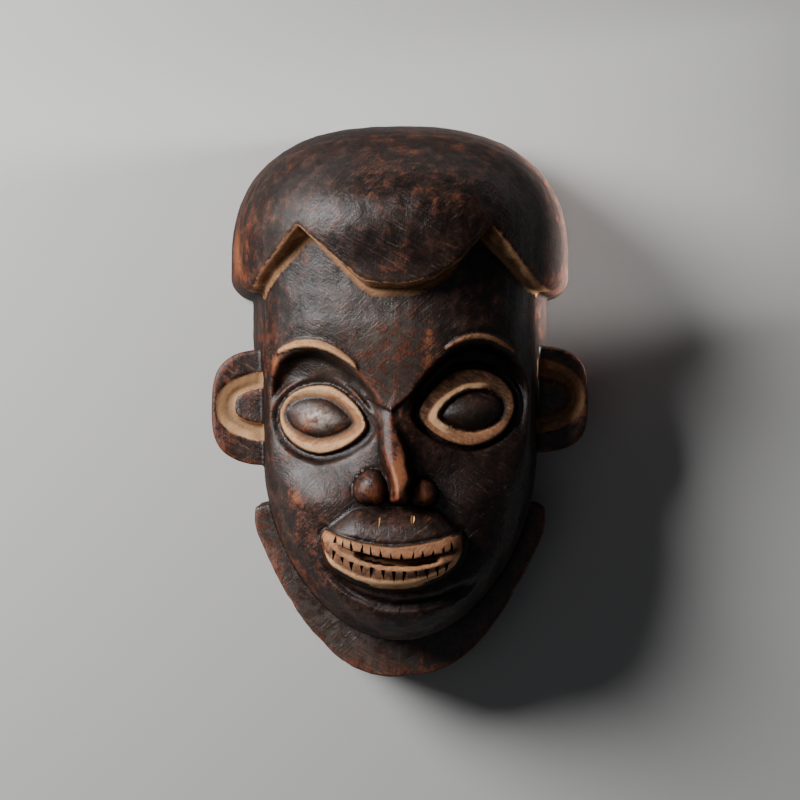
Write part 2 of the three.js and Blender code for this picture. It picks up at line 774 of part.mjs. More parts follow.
function toothCut(x, line, reach) {
  const y = mouthLine(x, line);
  const z = faceHeight(x, y) + BAND_RISE;
  const w = TOOTH_CUT_WIDTH / 2;
  const back = -Math.sign(reach) * TOOTH_CUT_OVERLAP;
  const ring = (dz) => [
    new THREE.Vector3(x - w, y + back, z + dz),
    new THREE.Vector3(x + w, y + back, z + dz),
    new THREE.Vector3(x, y + reach, z + dz),
  ];
  const rings = [ring(-TOOTH_CUT_DEPTH), ring(TOOTH_CUT_DEPTH)];
  if (reach < 0) {
    rings.forEach((r) => r.reverse());
  }
  return loft(rings);
}

// A half oval that grows from the head's side.
function earOutline(side, oval, inset, z) {
  const ring = [];
  const reach = oval.reach - EAR_ROOT_X - inset;
  for (let i = 0; i <= EAR_STEPS; i++) {
    const a = (i / EAR_STEPS - 0.5) * Math.PI;
    const x = EAR_ROOT_X + reach * Math.pow(Math.max(0, Math.cos(a)), 2 / oval.power);
    const y = oval.middle + (oval.half - inset) * signedPower(Math.sin(a), 2 / oval.power);
    ring.push(new THREE.Vector3(side * x, y, z));
  }
  return side > 0 ? ring : ring.reverse();
}

function ear({ side, rim, groove, boss }) {
  const low = EAR_FRONT_Z - EAR_THICKNESS;
  const slab = loft([
    earOutline(side, rim, EAR_REAR_INSET, low),
    earOutline(side, rim, 0, low + EAR_REAR_ROUND),
    earOutline(side, rim, 0, EAR_FRONT_Z - EAR_FRONT_ROUND),
    earOutline(side, rim, EAR_FRONT_ROUND, EAR_FRONT_Z),
  ]);
  const floor = EAR_FRONT_Z - EAR_GROOVE_DEPTH;
  const trench = loft([
    earOutline(side, groove, EAR_GROOVE_RUN, floor),
    earOutline(side, groove, 0, EAR_FRONT_Z),
    earOutline(side, groove, 0, EAR_FRONT_Z + PAST_THE_RIM),
  ]);
  const island = loft([
    earOutline(side, boss, -BOSS_FLARE, floor - PAST_THE_RIM),
    earOutline(side, boss, 0, EAR_FRONT_Z - BOSS_DROP),
  ]);
  return slab.subtract(trench).add(island);
}

function collar() {
  const outline = [];
  for (let i = 0; i <= COLLAR_STEPS; i++) {
    const x = COLLAR_HALF_WIDTH * Math.sin((i / COLLAR_STEPS - 0.5) * Math.PI);
    const lift = Math.pow(Math.abs(x) / COLLAR_HALF_WIDTH, COLLAR_POWER);
    outline.push(new THREE.Vector2(x, mix(COLLAR_BOTTOM_Y, COLLAR_TOP_Y - COLLAR_END_DROP, lift)));
  }
  outline.push(new THREE.Vector2(COLLAR_HALF_WIDTH, COLLAR_TOP_Y));
  const shoulder = COLLAR_HALF_WIDTH - COLLAR_SHOULDER_IN;
  outline.push(new THREE.Vector2(shoulder, COLLAR_TOP_Y + COLLAR_SHOULDER_UP));
  outline.push(new THREE.Vector2(-shoulder, COLLAR_TOP_Y + COLLAR_SHOULDER_UP));
  outline.push(new THREE.Vector2(-COLLAR_HALF_WIDTH, COLLAR_TOP_Y));
  const height = COLLAR_TOP_Y - COLLAR_BOTTOM_Y;
  const front = (p) => COLLAR_FRONT_Z - COLLAR_FALL * ((COLLAR_TOP_Y - p.y) / height);
  const level = (z) => outline.map((p) => new THREE.Vector3(p.x, p.y, z(p)));
  return loft([level(() => 0), level(front)]);
}

function hollow() {
  const rings = [];
  for (let k = 0; k <= HOLLOW_LEVELS; k++) {
    const t = Math.sin((k / HOLLOW_LEVELS) * (Math.PI / 2)) * HOLLOW_ROOF_SHARE;
    const z = k === 0 ? -PAST_THE_RIM : HOLLOW_DEPTH * t;
    const scale = dome(t, HOLLOW_ROUND);
    const ring = [];
    for (let i = 0; i < HOLLOW_STEPS; i++) {
      const a = (i / HOLLOW_STEPS) * 2 * Math.PI;
      const x = HOLLOW_HALF_WIDTH * scale * signedPower(Math.cos(a), 2 / HOLLOW_ROUND);
      const reach = Math.sin(a) > 0 ? HOLLOW_TOP_Y - HOLLOW_MIDDLE_Y : HOLLOW_MIDDLE_Y - HOLLOW_BOTTOM_Y;
      const y = HOLLOW_MIDDLE_Y + reach * scale * signedPower(Math.sin(a), 2 / HOLLOW_ROUND);
      ring.push(new THREE.Vector3(x, y, z));
    }
    rings.push(ring);
  }
  return loft(rings);
}

function mask() {
  let body = head().add(cap()).add(collar());
  EARS.forEach((e) => {
    body = body.add(ear(e));
  });
  ALAE.forEach((wing) => {
    body = body.add(ala(wing));
  });
  BROWS.forEach((b) => {
    body = body.add(brow(b));
  });
  EYES.forEach((eye) => {
    body = body.subtract(eyePit(eye)).add(eyePlug(eye));
  });
  body = body.add(lipBand()).subtract(mouthGap());
  for (let i = 0; i < TOOTH_COUNT; i++) {
    const x = mix(TOOTH_LEFT_X, TOOTH_RIGHT_X, i / (TOOTH_COUNT - 1));
    body = body.subtract(toothCut(x, UPPER_TEETH, UPPER_CUT_HEIGHT));
    body = body.subtract(toothCut(x, LOWER_TEETH, -LOWER_CUT_HEIGHT));
  }
  return body.subtract(hollow());
}

function toMesh(name, made) {
  const mesh = made.getMesh();
  const positions = new Float32Array(mesh.numVert * 3);
  for (let i = 0; i < mesh.numVert; i++) {
    positions.set(mesh.vertProperties.subarray(i * mesh.numProp, i * mesh.numProp + 3), i * 3);
  }
  const geometry = new THREE.BufferGeometry();
  geometry.setAttribute("position", new THREE.BufferAttribute(positions, 3));
  geometry.setIndex(new THREE.BufferAttribute(new Uint32Array(mesh.triVerts), 1));
  const wood = new THREE.MeshStandardMaterial({ color: WOOD_COLOUR, roughness: WOOD_ROUGHNESS });
  const out = new THREE.Mesh(geometry, wood);
  out.name = name;
  return out;
}

const group = new THREE.Group();
group.position.y = -MIDDLE_Y;
group.add(toMesh("mask", mask()));

export default group;
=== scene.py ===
# %% [markdown]
# # A carved wooden face mask
# The frame is loaded first. It holds the measured solid. The fine surface made below stands for it, since
# tool marks, tooth cuts and worn clay are finer than a solid needs to be.
# %% Load the frame
import math
import bpy
import numpy as np
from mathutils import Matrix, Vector


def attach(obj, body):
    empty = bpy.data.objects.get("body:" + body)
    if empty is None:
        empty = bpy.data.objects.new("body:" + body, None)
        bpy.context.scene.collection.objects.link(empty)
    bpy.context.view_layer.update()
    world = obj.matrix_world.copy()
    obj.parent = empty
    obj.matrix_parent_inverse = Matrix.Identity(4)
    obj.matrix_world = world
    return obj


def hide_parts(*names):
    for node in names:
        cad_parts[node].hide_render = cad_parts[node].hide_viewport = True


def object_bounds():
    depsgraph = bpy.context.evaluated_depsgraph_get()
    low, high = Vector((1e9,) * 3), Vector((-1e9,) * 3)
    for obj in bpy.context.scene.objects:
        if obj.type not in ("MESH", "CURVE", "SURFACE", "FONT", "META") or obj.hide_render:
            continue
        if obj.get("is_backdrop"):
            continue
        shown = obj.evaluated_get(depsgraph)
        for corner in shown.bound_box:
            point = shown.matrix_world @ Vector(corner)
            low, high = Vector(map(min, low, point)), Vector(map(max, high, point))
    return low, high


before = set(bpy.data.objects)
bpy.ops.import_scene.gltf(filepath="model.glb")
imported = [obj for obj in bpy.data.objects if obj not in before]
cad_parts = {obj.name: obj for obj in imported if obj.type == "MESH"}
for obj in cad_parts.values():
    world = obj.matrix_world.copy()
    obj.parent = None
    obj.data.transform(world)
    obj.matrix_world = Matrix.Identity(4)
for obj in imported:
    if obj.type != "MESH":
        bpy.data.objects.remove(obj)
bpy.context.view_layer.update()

# %% [markdown]
# The camera comes first. The photo was taken square in front of the face, so the camera looks straight
# down on the lying mask from two metres, with the crown at the top of the picture. The lens takes in 600 mm
# at the depth of the face.
# %% Camera
MM = 0.001
CAMERA_HEIGHT, CAMERA_Y = 2.0, -0.0005
FIELD_WIDTH, FIELD_DEPTH = 0.6, 0.1
SENSOR_WIDTH = 36.0
camera_data = bpy.data.cameras.new("camera")
camera_data.sensor_width = SENSOR_WIDTH
camera_data.lens = SENSOR_WIDTH * (CAMERA_HEIGHT - FIELD_DEPTH) / FIELD_WIDTH
camera = bpy.data.objects.new("camera", camera_data)
camera.location = (0.0, CAMERA_Y, CAMERA_HEIGHT)
camera.rotation_euler = (0.0, 0.0, 0.0)
bpy.context.scene.collection.objects.link(camera)
bpy.context.scene.camera = camera
print("lens", round(camera_data.lens, 1), "mm")

# %% [markdown]
# ## Sizes of the carving
# Millimetres, the same figures as the solid's. The drawing's origin is on the rear rim, and the finished mesh
# is moved by MIDDLE_Y so that the mask lies in the middle of the frame.
# %% Sizes of the block
STEP = 1.3
MIDDLE_Y = 2.0
FACE_HALF_WIDTH, FACE_EDGE_Z = 102.0, 104.0
JAW_START_Y, CHIN_TIP_Y, JAW_POWER, FACE_ROUND = -40.0, -179.0, 1.9, 2.2
TEMPLE_REAR_HALF_WIDTH, JAW_REAR_FLARE, TEMPLE_Y, HEAD_TOP_Y = 116.0, 5.0, 60.0, 150.0
CAP_HALF_WIDTH, CAP_DEPTH, CAP_ROUND, CAP_WAIST_Y, CROWN_Y = 132.0, 200.0, 2.5, 105.0, 214.0
MIDDLE_LOBE_Y, NOTCH_X, NOTCH_Y, HAIRLINE_SHIFT_X = 84.0, 71.0, 127.0, -4.0
SIDE_LOBE_X, SIDE_LOBE_Y, REAR_HAIRLINE_Y = 109.0, 84.0, 82.0
print("grid step", STEP, "mm")

# %% [markdown]
# Every form below is put together from a few helpers: a smooth step, a mix of two values, a dome that falls
# off to its edge, a bell, and a union or a cut whose joint is rounded, as a knife leaves it.
# %% Helpers for forms


def smooth(v, a, b):
    t = np.clip((v - a) / (b - a), 0.0, 1.0)
    return t * t * (3.0 - 2.0 * t)


def mix(a, b, t):
    return a + (b - a) * t


def dome(t, power):
    return np.maximum(0.0, 1.0 - np.minimum(1.0, np.abs(t)) ** power) ** (1.0 / power)


def bell(d, spread):
    return np.exp(-(d * d) / (spread * spread))


def union(a, b, r):
    h = np.clip(0.5 + 0.5 * (b - a) / r, 0.0, 1.0)
    return b * (1.0 - h) + a * h - r * h * (1.0 - h)


def cut(a, b, r):
    return -union(-a, -b, r)


def at_point(form, x, y):
    """One value of a form over the plan, for the printed notes."""
    return round(float(form(np.array([x]), np.array([y]))[0]), 1)


print("a round dome half way out is", round(float(dome(0.5, 2.0)), 2), "of its height")

# %% [markdown]
# One helper serves every node tree: it adds a node, applies its settings, gives each input a value or a
# link, and returns one output. Where names repeat in a node, its sockets go by number: in a Map Range 1 and 2
# are the old limits and 3 and 4 the new ones; in a Mix 0 is the share, 2 and 3 are two numbers or 6 and 7 two
# colours, and output 2 is the mixed colour. Colours are written as they look on screen and turned into
# linear light.
# %% Node helper and colours


def add(tree, kind, settings, inputs, out=0):
    node = tree.nodes.new(kind)
    for key, value in settings.items():
        setattr(node, key, value)
    for key, value in inputs.items():
        if isinstance(value, bpy.types.NodeSocket):
            tree.links.new(value, node.inputs[key])
        else:
            node.inputs[key].default_value = value
    return node if out is None else node.outputs[out]


def linear(hex_colour):
    parts = [int(hex_colour[i:i + 2], 16) / 255.0 for i in (1, 3, 5)]
    return tuple(c / 12.92 if c <= 0.04045 else ((c + 0.055) / 1.055) ** 2.4 for c in parts) + (1.0,)


print("middle grey in linear light", round(linear("#808080")[0], 3))

# %% [markdown]
# ## The face
# The face is a height over the plan, x to the viewer's right and y to the crown, because a knife that works
# from the front leaves nothing overhanging. Its base is a rounded front: a ridge down the middle that falls
# to one level at the edge. The features that follow are added to it or cut from it.
# %% Rounded front
RIDGE_KNOTS = ((150.0, 165.0), (127.0, 171.0), (60.0, 170.0), (6.0, 160.0), (-66.0, 152.0), (-150.0, 168.0))


def plan_radius(x, y):
    """0 in the middle, 1 on the outline of the head."""
    t = np.clip((JAW_START_Y - y) / (JAW_START_Y - CHIN_TIP_Y), 0.0, 2.0)
    across = np.abs(x) / FACE_HALF_WIDTH
    return (across ** JAW_POWER + t ** JAW_POWER) ** (1.0 / JAW_POWER)


def ridge_line(y):
    z = np.full_like(y, RIDGE_KNOTS[0][1])
    for (y0, z0), (y1, z1) in zip(RIDGE_KNOTS, RIDGE_KNOTS[1:]):
        z = np.where(y < y0, mix(z0, z1, smooth(-y, -y0, -y1)), z)
    return z


def base_height(x, y):
    return mix(FACE_EDGE_Z, ridge_line(y), dome(plan_radius(x, y), FACE_ROUND))


print("front of the forehead at", at_point(base_height, 0.0, 60.0), "mm")

# %% [markdown]
# The nose is a leaning crest that rises towards its tip. On the crest's left side runs a narrow face, and
# then the flank drops in a curve. Its right flank is a flat facet that widens downwards. Two drop-shaped
# wings, cut as domes with a narrower upper end, stand beside the tip.
# %% Nose
NOSE_TOP_Y, NOSE_TIP_Y, NOSE_END_Y, NOSE_END_RUN, NOSE_RISE, NOSE_CURVE = 2.0, -64.0, -77.0, 7.0, 31.0, 1.15
CREST_LEAN = ((-76.0, -0.5), (-60.0, -1.2), (-46.0, -5.2), (-28.0, -6.6), (-8.0, -6.4))
CREST_FACE_WIDTH, CREST_TIP_WIDTH, CREST_FACE_SLOPE = 5.0, 1.5, 0.45
LEFT_RUN_TOP, LEFT_RUN_TIP, RIGHT_RUN = 5.0, 8.5, 7.0
FACET_WIDTH, FACET_FALL, FACET_EDGE = 10.0, 0.18, 1.5
WINGS = (dict(x=-21.0, y=-64.0, wide=13.5, up=15.5, down=11.5),
         dict(x=16.5, y=-67.0, wide=12.0, up=12.5, down=10.0))
WING_RISE, WING_ROUND, WING_TOP_POWER, WING_LOW_POWER = 16.0, 2.2, 1.75, 2.3


def nose_middle(y):
    return np.interp(y, *zip(*CREST_LEAN))


def nose_rise(x, y):
    along = np.clip((NOSE_TOP_Y - y) / (NOSE_TOP_Y - NOSE_TIP_Y), 0.0, 1.0)
    lift = NOSE_RISE * along ** NOSE_CURVE * smooth(y, NOSE_END_Y, NOSE_END_Y + NOSE_END_RUN)
    off = x - nose_middle(y)
    face_width = mix(CREST_FACE_WIDTH, CREST_TIP_WIDTH, smooth(along, 0.5, 0.85))
    t = np.clip((-off - face_width) / mix(LEFT_RUN_TOP, LEFT_RUN_TIP, along), 0.0, 1.0)
    crest_face = np.maximum(lift - CREST_FACE_SLOPE * np.clip(-off, 0.0, face_width), 0.0)
    left = crest_face * (1.0 - 0.5 * (t + smooth(t, 0.0, 1.0)))
    facet = FACET_WIDTH * smooth(along, 0.15, 0.65) * mix(1.0, 0.55, smooth(along, 0.86, 1.0))
    fall = FACET_FALL * np.clip(off / (facet + RIGHT_RUN), 0.0, 1.0)
    right = (1.0 - fall) * (1.0 - smooth(off, facet - FACET_EDGE, facet + RIGHT_RUN))
    return np.where(off < 0.0, left, lift * right)


def wing_rise(x, y):
    total = 0.0
    for wing in WINGS:
        u = (x - wing["x"]) / wing["wide"]
        v = (y - wing["y"]) / np.where(y > wing["y"], wing["up"], wing["down"])
        power = np.where(v > 0.0, WING_TOP_POWER, WING_LOW_POWER)
        r = (np.abs(u) ** power + np.abs(v) ** power) ** (1.0 / power)
        total = np.maximum(total, WING_RISE * dome(r, WING_ROUND))
    return total


print("nose tip stands out", at_point(nose_rise, -1.0, NOSE_TIP_Y), "mm")

# %% [markdown]
# The mouth is a crescent. Four hanging curves lay it out: the upper and lower edge of the lip band, and the
# tips of the two rows of teeth. Each sags from the height of its ends by a given depth in its middle.
# %% Lines of the mouth
MOUTH_MIDDLE_X, MOUTH_HALF_WIDTH = -5.0, 54.0


def mouth_line(x, ends_y, sag, middle, span, power):
    return ends_y - sag * dome((x - middle) / span, power)


def band_top(x):
    return mouth_line(x, ends_y=-91.0, sag=13.4, middle=-4.5, span=50.0, power=1.5)


def band_bottom(x):
    return mouth_line(x, ends_y=-104.0, sag=34.0, middle=MOUTH_MIDDLE_X, span=MOUTH_HALF_WIDTH, power=2.0)


def upper_teeth(x):
    return mouth_line(x, ends_y=-98.0, sag=17.0, middle=2.0, span=52.0, power=1.6)


def lower_teeth(x):
    return mouth_line(x, ends_y=-101.0, sag=20.5, middle=1.0, span=52.0, power=1.8)


print("band is", round(float(band_top(0.0) - band_bottom(0.0)), 1), "mm tall in the middle")

# %% [markdown]
# The lips stand on a raised muzzle. In plan it has a level top under the nose, a slanting shoulder on each
# side, and an underside that follows the band. It rises quickly from that outline and then levels off.
# %% Muzzle
MUZZLE_RISE, MUZZLE_ROUND, MUZZLE_POWER = 15.0, 18.0, 2.2
MUZZLE_TOP_Y, MUZZLE_MIDDLE_X, MUZZLE_HALF_WIDTH, MUZZLE_BELOW_BAND = -77.0, -4.5, 56.0, 2.5
SHOULDERS = (dict(x=-32.0, y=-76.0, across=-0.581, up=0.814), dict(x=29.0, y=-79.0, across=0.641, up=0.769))
SHOULDER_CORNER, MUZZLE_CORNER = 3.0, 6.0
BAND_SLANT = 0.8


def muzzle_distance(x, y):
    d = y - MUZZLE_TOP_Y
    for shoulder in SHOULDERS:
        beyond = shoulder["across"] * (x - shoulder["x"]) + shoulder["up"] * (y - shoulder["y"])
        d = cut(d, beyond, SHOULDER_CORNER)
    d = cut(d, np.abs(x - MUZZLE_MIDDLE_X) - MUZZLE_HALF_WIDTH, MUZZLE_CORNER)
    return cut(d, (band_bottom(x) - MUZZLE_BELOW_BAND - y) * BAND_SLANT, MUZZLE_CORNER)


def lip_rise(x, y):
    t = np.clip(-muzzle_distance(x, y) / MUZZLE_ROUND, 0.0, 1.0)
    return MUZZLE_RISE * (1.0 - (1.0 - t) ** MUZZLE_POWER)


print("muzzle stands out", at_point(lip_rise, 0.0, -95.0), "mm")

# %% [markdown]
# The brows are thin raised arches. Under each, the eye socket drops in a steep step and runs out softly
# towards the cheek: its upper half is cut deeper and has the sharper outline.
# %% Brows and sockets
BROWS = (dict(x0=-90.0, x1=-31.0, y0=37.0, y1=25.0, arch=11.2, width=6.8),
         dict(x0=33.0, x1=85.0, y0=38.5, y1=36.5, arch=10.3, width=5.2))
BROW_RISE, BROW_END_SHARE, BROW_ROUND, BROW_END_PINCH = 2.5, 0.25, 2.5, 2.0
SOCKETS = (dict(x=-58.0, inner=47.0, outer=46.0), dict(x=56.0, inner=56.0, outer=46.0))
SOCKET_Y, SOCKET_HALF_HEIGHT, SOCKET_DEPTH, SOCKET_STEP_RUN = -11.0, 62.0, 16.0, 9.0


def brow_line(brow, x):
    t = (x - brow["x0"]) / (brow["x1"] - brow["x0"])
    return mix(brow["y0"], brow["y1"], t) + brow["arch"] * (1.0 - (2.0 * t - 1.0) ** 2)


def brow_distance(brow, x, y):
    t = np.clip((x - brow["x0"]) / (brow["x1"] - brow["x0"]), 0.0, 1.0)
    line = brow_line(brow, np.clip(x, brow["x0"], brow["x1"]))
    share = BROW_END_SHARE + (1.0 - BROW_END_SHARE) * dome(2.0 * t - 1.0, BROW_ROUND)
    half = 0.5 * brow["width"] * share
    past = np.maximum(np.maximum(brow["x0"] - x, x - brow["x1"]), 0.0)
    return np.hypot(y - line, past * BROW_END_PINCH) - half


def socket_cut(x, y):
    total = 0.0
    for socket, brow in zip(SOCKETS, BROWS):
        away = np.sign(socket["x"]) * x - abs(socket["x"])
        u = np.where(away < 0.0, away / socket["inner"], away / socket["outer"])
        v = (y - SOCKET_Y) / SOCKET_HALF_HEIGHT
        upper = smooth(v, -0.5, 0.4)
        inside = 1.0 - smooth(np.hypot(u, v), mix(0.35, 0.72, upper), mix(1.1, 1.0, upper))
        below = brow_line(brow, x) - 0.5 * brow["width"] - y
        step = smooth(below, 0.0, SOCKET_STEP_RUN)
        total = total + SOCKET_DEPTH * inside * step * mix(0.6, 1.0, upper)
    return total


print("socket is", at_point(socket_cut, 56.0, 10.0), "mm deep over the right eye")

# %% [markdown]
# The forehead ends in a blunt point between the sockets, a small step that runs out down the nose. A curved
# crease is cut across the chin, and the cheeks are two soft swellings beside the nose.
# %% Forehead point, crease and cheeks
POINT_X, POINT_Y, POINT_LEFT_SLOPE, POINT_RIGHT_SLOPE = -6.0, -6.0, 0.5, 0.9
POINT_STEP, POINT_EDGE, POINT_RUN_START, POINT_RUN_END = 3.0, 2.0, 3.0, 26.0
POINT_FULL_X, POINT_END_X = 16.0, 26.0
CREASE_Y, CREASE_LEFT_BEND, CREASE_RIGHT_BEND, CREASE_DEPTH, CREASE_WIDTH = -149.0, 0.0085, 0.0048, 5.0, 4.0
CREASE_FULL_X, CREASE_END_X = 42.0, 62.0
CHEEK_X, CHEEK_Y, CHEEK_RISE, CHEEK_SPREAD = 58.0, -66.0, 6.0, 24.0


def point_step(x, y):
    off = x - POINT_X
    below = POINT_Y + np.where(off < 0.0, -POINT_LEFT_SLOPE, POINT_RIGHT_SLOPE) * off - y
    across = 1.0 - smooth(np.abs(off), POINT_FULL_X, POINT_END_X)
    run_out = 1.0 - smooth(below, POINT_RUN_START, POINT_RUN_END)
    return POINT_STEP * smooth(below, 0.0, POINT_EDGE) * run_out * across


def crease_cut(x, y):
    line = CREASE_Y + np.where(x < 0, CREASE_LEFT_BEND, CREASE_RIGHT_BEND) * x * x
    ends = 1.0 - smooth(np.abs(x), CREASE_FULL_X, CREASE_END_X)
    return CREASE_DEPTH * bell(y - line, CREASE_WIDTH) * ends


def cheek_rise(x, y):
    return CHEEK_RISE * bell(np.hypot(np.abs(x) - CHEEK_X, y - CHEEK_Y), CHEEK_SPREAD)


print("chin crease is", at_point(crease_cut, 0.0, CREASE_Y), "mm deep")

# %% [markdown]
# Each eye is an almond: a low ball in a bevelled ring, set on its own tilted plane in the socket. The inner
# corner is sharper than the outer one. Both outlines are one formula, and a profile over the distance from
# the middle gives the height. The right eye's inner bevel is steeper and keeps some flat facets of the knife.
# %% Eyes
EYES = (dict(side=-1.0, tilt=-9.0, ring=(-56.5, -13.0, 32.5, 25.3), ball=(-59.8, -11.5, 24.6, 14.5),
             plane=(138.0, 0.34, 0.0), groove=1.0, bevel=0.3, facet=0.0),
        dict(side=1.0, tilt=9.0, ring=(49.6, -4.0, 36.3, 29.0), ball=(53.2, -6.5, 23.9, 14.8),
             plane=(139.0, 0.275, 0.0015), groove=0.55, bevel=2.6, facet=2.4))
INNER_CORNER_POWER, OUTER_CORNER_POWER, CORNER_BLEND = 1.55, 2.0, 8.0
BALL_PROFILE = ((0.0, 7.0), (0.25, 6.6), (0.5, 5.3), (0.75, 3.3), (0.92, 1.3), (0.99, 0.1), (1.03, -0.3))
BEVEL_START, BEVEL_PROFILE = 1.08, ((1.38, 3.2), (3.0, 3.4))
RING_PROFILE = ((0.0, 9.0), (0.85, 9.0), (0.93, 3.4), (0.97, 3.1), (1.0, 1.6), (1.035, -2.0), (1.09, -2.2),
                (1.16, -1.0), (1.22, -0.1), (3.0, 0.0))
FACETS, FACET_HOLLOW, FACET_START, FACET_END = 5.0, 0.25, 1.03, 1.45
LIGHT_SLANT, LIGHT_BLEND = 0.8, 12.0


def almond(eye, part, x, y):
    """0 in the middle, 1 on the outline of the ring or of the ball."""
    middle_x, middle_y, half_width, half_height = eye[part]
    turn = math.radians(eye["tilt"])
    u = (x - middle_x) * math.cos(turn) + (y - middle_y) * math.sin(turn)
    v = -(x - middle_x) * math.sin(turn) + (y - middle_y) * math.cos(turn)
    p = mix(INNER_CORNER_POWER, OUTER_CORNER_POWER, smooth(u * eye["side"], -CORNER_BLEND, CORNER_BLEND))
    return (np.abs(u / half_width) ** p + np.abs(v / half_height) ** p) ** (1.0 / p)


def towards_light(eye, x, y):
    """1 on the upper left of the ball, where the light comes from, and 0 on the rest."""
    return smooth(LIGHT_SLANT * (y - eye["ball"][1]) - (x - eye["ball"][0]), 0.0, LIGHT_BLEND)


def eye_height(eye, x, y):
    off = eye["side"] * (x - eye["ring"][0])
    height, slope, curve = eye["plane"]
    ring = almond(eye, "ring", x, y)
    ring = np.where(ring > 1.0, 1.0 + (ring - 1.0) / eye["groove"], ring)
    profile = BALL_PROFILE + ((BEVEL_START, eye["bevel"]),) + BEVEL_PROFILE
    ball = almond(eye, "ball", x, y)
    step = np.minimum(np.interp(ball, *zip(*profile)), np.interp(ring, *zip(*RING_PROFILE)))
    angle = np.arctan2(y - eye["ball"][1], x - eye["ball"][0])
    facet = eye["facet"] * (1.0 - FACET_HOLLOW * np.abs(np.sin(FACETS * angle)))
    facet = facet * smooth(ball, FACET_START, BEVEL_START) * (1.0 - smooth(ball, BEVEL_START, FACET_END))
    step = step + facet * towards_light(eye, x, y)
    return height - slope * off - curve * off * off + step, ring


print("middle of the left eye at", round(float(eye_height(EYES[0], -59.8, -11.5)[0]), 1), "mm")

# %% [markdown]
# The lip band stands proud inside a shallow moat, with a fine groove along each edge and a swelling between.
# The gap of the mouth is cut between the tips of the teeth: deep in the middle and bevelled up to the ends.
# %% Lip band and gap between the teeth
BAND_CORNER, BAND_END_CORNER, BAND_END_INSET = 4.0, 10.0, 1.0
BAND_RISE, MOAT_DEPTH, MOAT_PLACE, MOAT_WIDTH = 2.6, 1.3, 0.9, 1.3
GROOVE_DEPTH, UPPER_GROOVE_SHARE, GROOVE_WIDTH = 0.9, 0.6, 0.9
LOWER_GROOVE_AT, UPPER_GROOVE_AT = 2.2, 3.2
SWELLING_RISE, SWELLING_AT, SWELLING_WIDTH = 1.5, 5.4, 2.6
GAP_MIDDLE_X, GAP_DEPTH, GAP_FULL_X, GAP_END_X = -2.0, 9.0, 22.0, 33.0
SLANT_DEPTH, SLANT_FULL_X, SLANT_END_X = 3.2, 40.0, 47.0
GAP_PROFILE = ((-0.12, 0.0), (0.05, 1.0), (0.45, 1.0), (0.6, 0.35), (1.0, 0.05), (1.2, 0.0))
SLANT_PROFILE = ((-0.1, 0.0), (0.05, 1.0), (1.0, 0.1), (1.15, 0.0))


def band_distance(x, y):
    side = np.abs(x - MOUTH_MIDDLE_X) - MOUTH_HALF_WIDTH + BAND_END_INSET
    d = cut(y - band_top(x), (band_bottom(x) - y) * BAND_SLANT, BAND_CORNER)
    return cut(d, side, BAND_END_CORNER)


def with_band(height, x, y):
    lips = band_distance(x, y)
    in_band = 1.0 - smooth(lips, -2.5, -1.0)
    lower = bell(y - band_bottom(x) - LOWER_GROOVE_AT, GROOVE_WIDTH)
    upper = bell(y - band_top(x) + UPPER_GROOVE_AT, GROOVE_WIDTH)
    moat = bell(lips - MOAT_PLACE, MOAT_WIDTH)
    height = height + BAND_RISE * (1.0 - smooth(lips, -1.4, 0.3)) - MOAT_DEPTH * moat
    height = height - GROOVE_DEPTH * in_band * (lower + UPPER_GROOVE_SHARE * upper)
    return height + SWELLING_RISE * in_band * bell(y - band_bottom(x) - SWELLING_AT, SWELLING_WIDTH)


def teeth_cut(x, y):
    top, bottom = upper_teeth(x), lower_teeth(x)
    t = np.clip((top - y) / np.maximum(top - bottom, 0.5), -0.5, 1.5)
    from_middle = np.abs(x - GAP_MIDDLE_X)
    deep = np.interp(t, *zip(*GAP_PROFILE))
    slant = np.interp(t, *zip(*SLANT_PROFILE))
    wide = 1.0 - smooth(from_middle, GAP_FULL_X, GAP_END_X)
    ends = 1.0 - smooth(from_middle, SLANT_FULL_X, SLANT_END_X)
    return GAP_DEPTH * deep * wide + SLANT_DEPTH * slant * ends


print("gap is", at_point(teeth_cut, GAP_MIDDLE_X, -117.0), "mm deep")

# %% [markdown]
# All features meet in one height. They fade out towards the edge of the head, and nose, wings and lips are
# joined with small rounded corners. The eyes replace what lies under them.
# %% The whole face
FEATURE_CORNER = 2.0
FADE_START, FADE_END = 0.86, 1.0
EYE_FADE_START, EYE_FADE_END = 1.17, 1.32


def face_height(x, y):
    base = base_height(x, y)
    keep = 1.0 - smooth(plan_radius(x, y), FADE_START, FADE_END)
    mound = union(-nose_rise(x, y), -wing_rise(x, y), FEATURE_CORNER)
    mound = union(mound, -lip_rise(x, y), FEATURE_CORNER)
    height = base + keep * (-mound + cheek_rise(x, y) - crease_cut(x, y) - socket_cut(x, y)
                            - point_step(x, y))
    for eye in EYES:
        carved, ring = eye_height(eye, x, y)
        height = mix(carved, height, smooth(ring, EYE_FADE_START, EYE_FADE_END))
    for brow in BROWS:
        height = height + BROW_RISE * (1.0 - smooth(brow_distance(brow, x, y), -0.9, 0.7))
    return with_band(height, x, y) - teeth_cut(x, y)


print("nose tip at", at_point(face_height, -1.0, NOSE_TIP_Y), "mm above the rear rim")

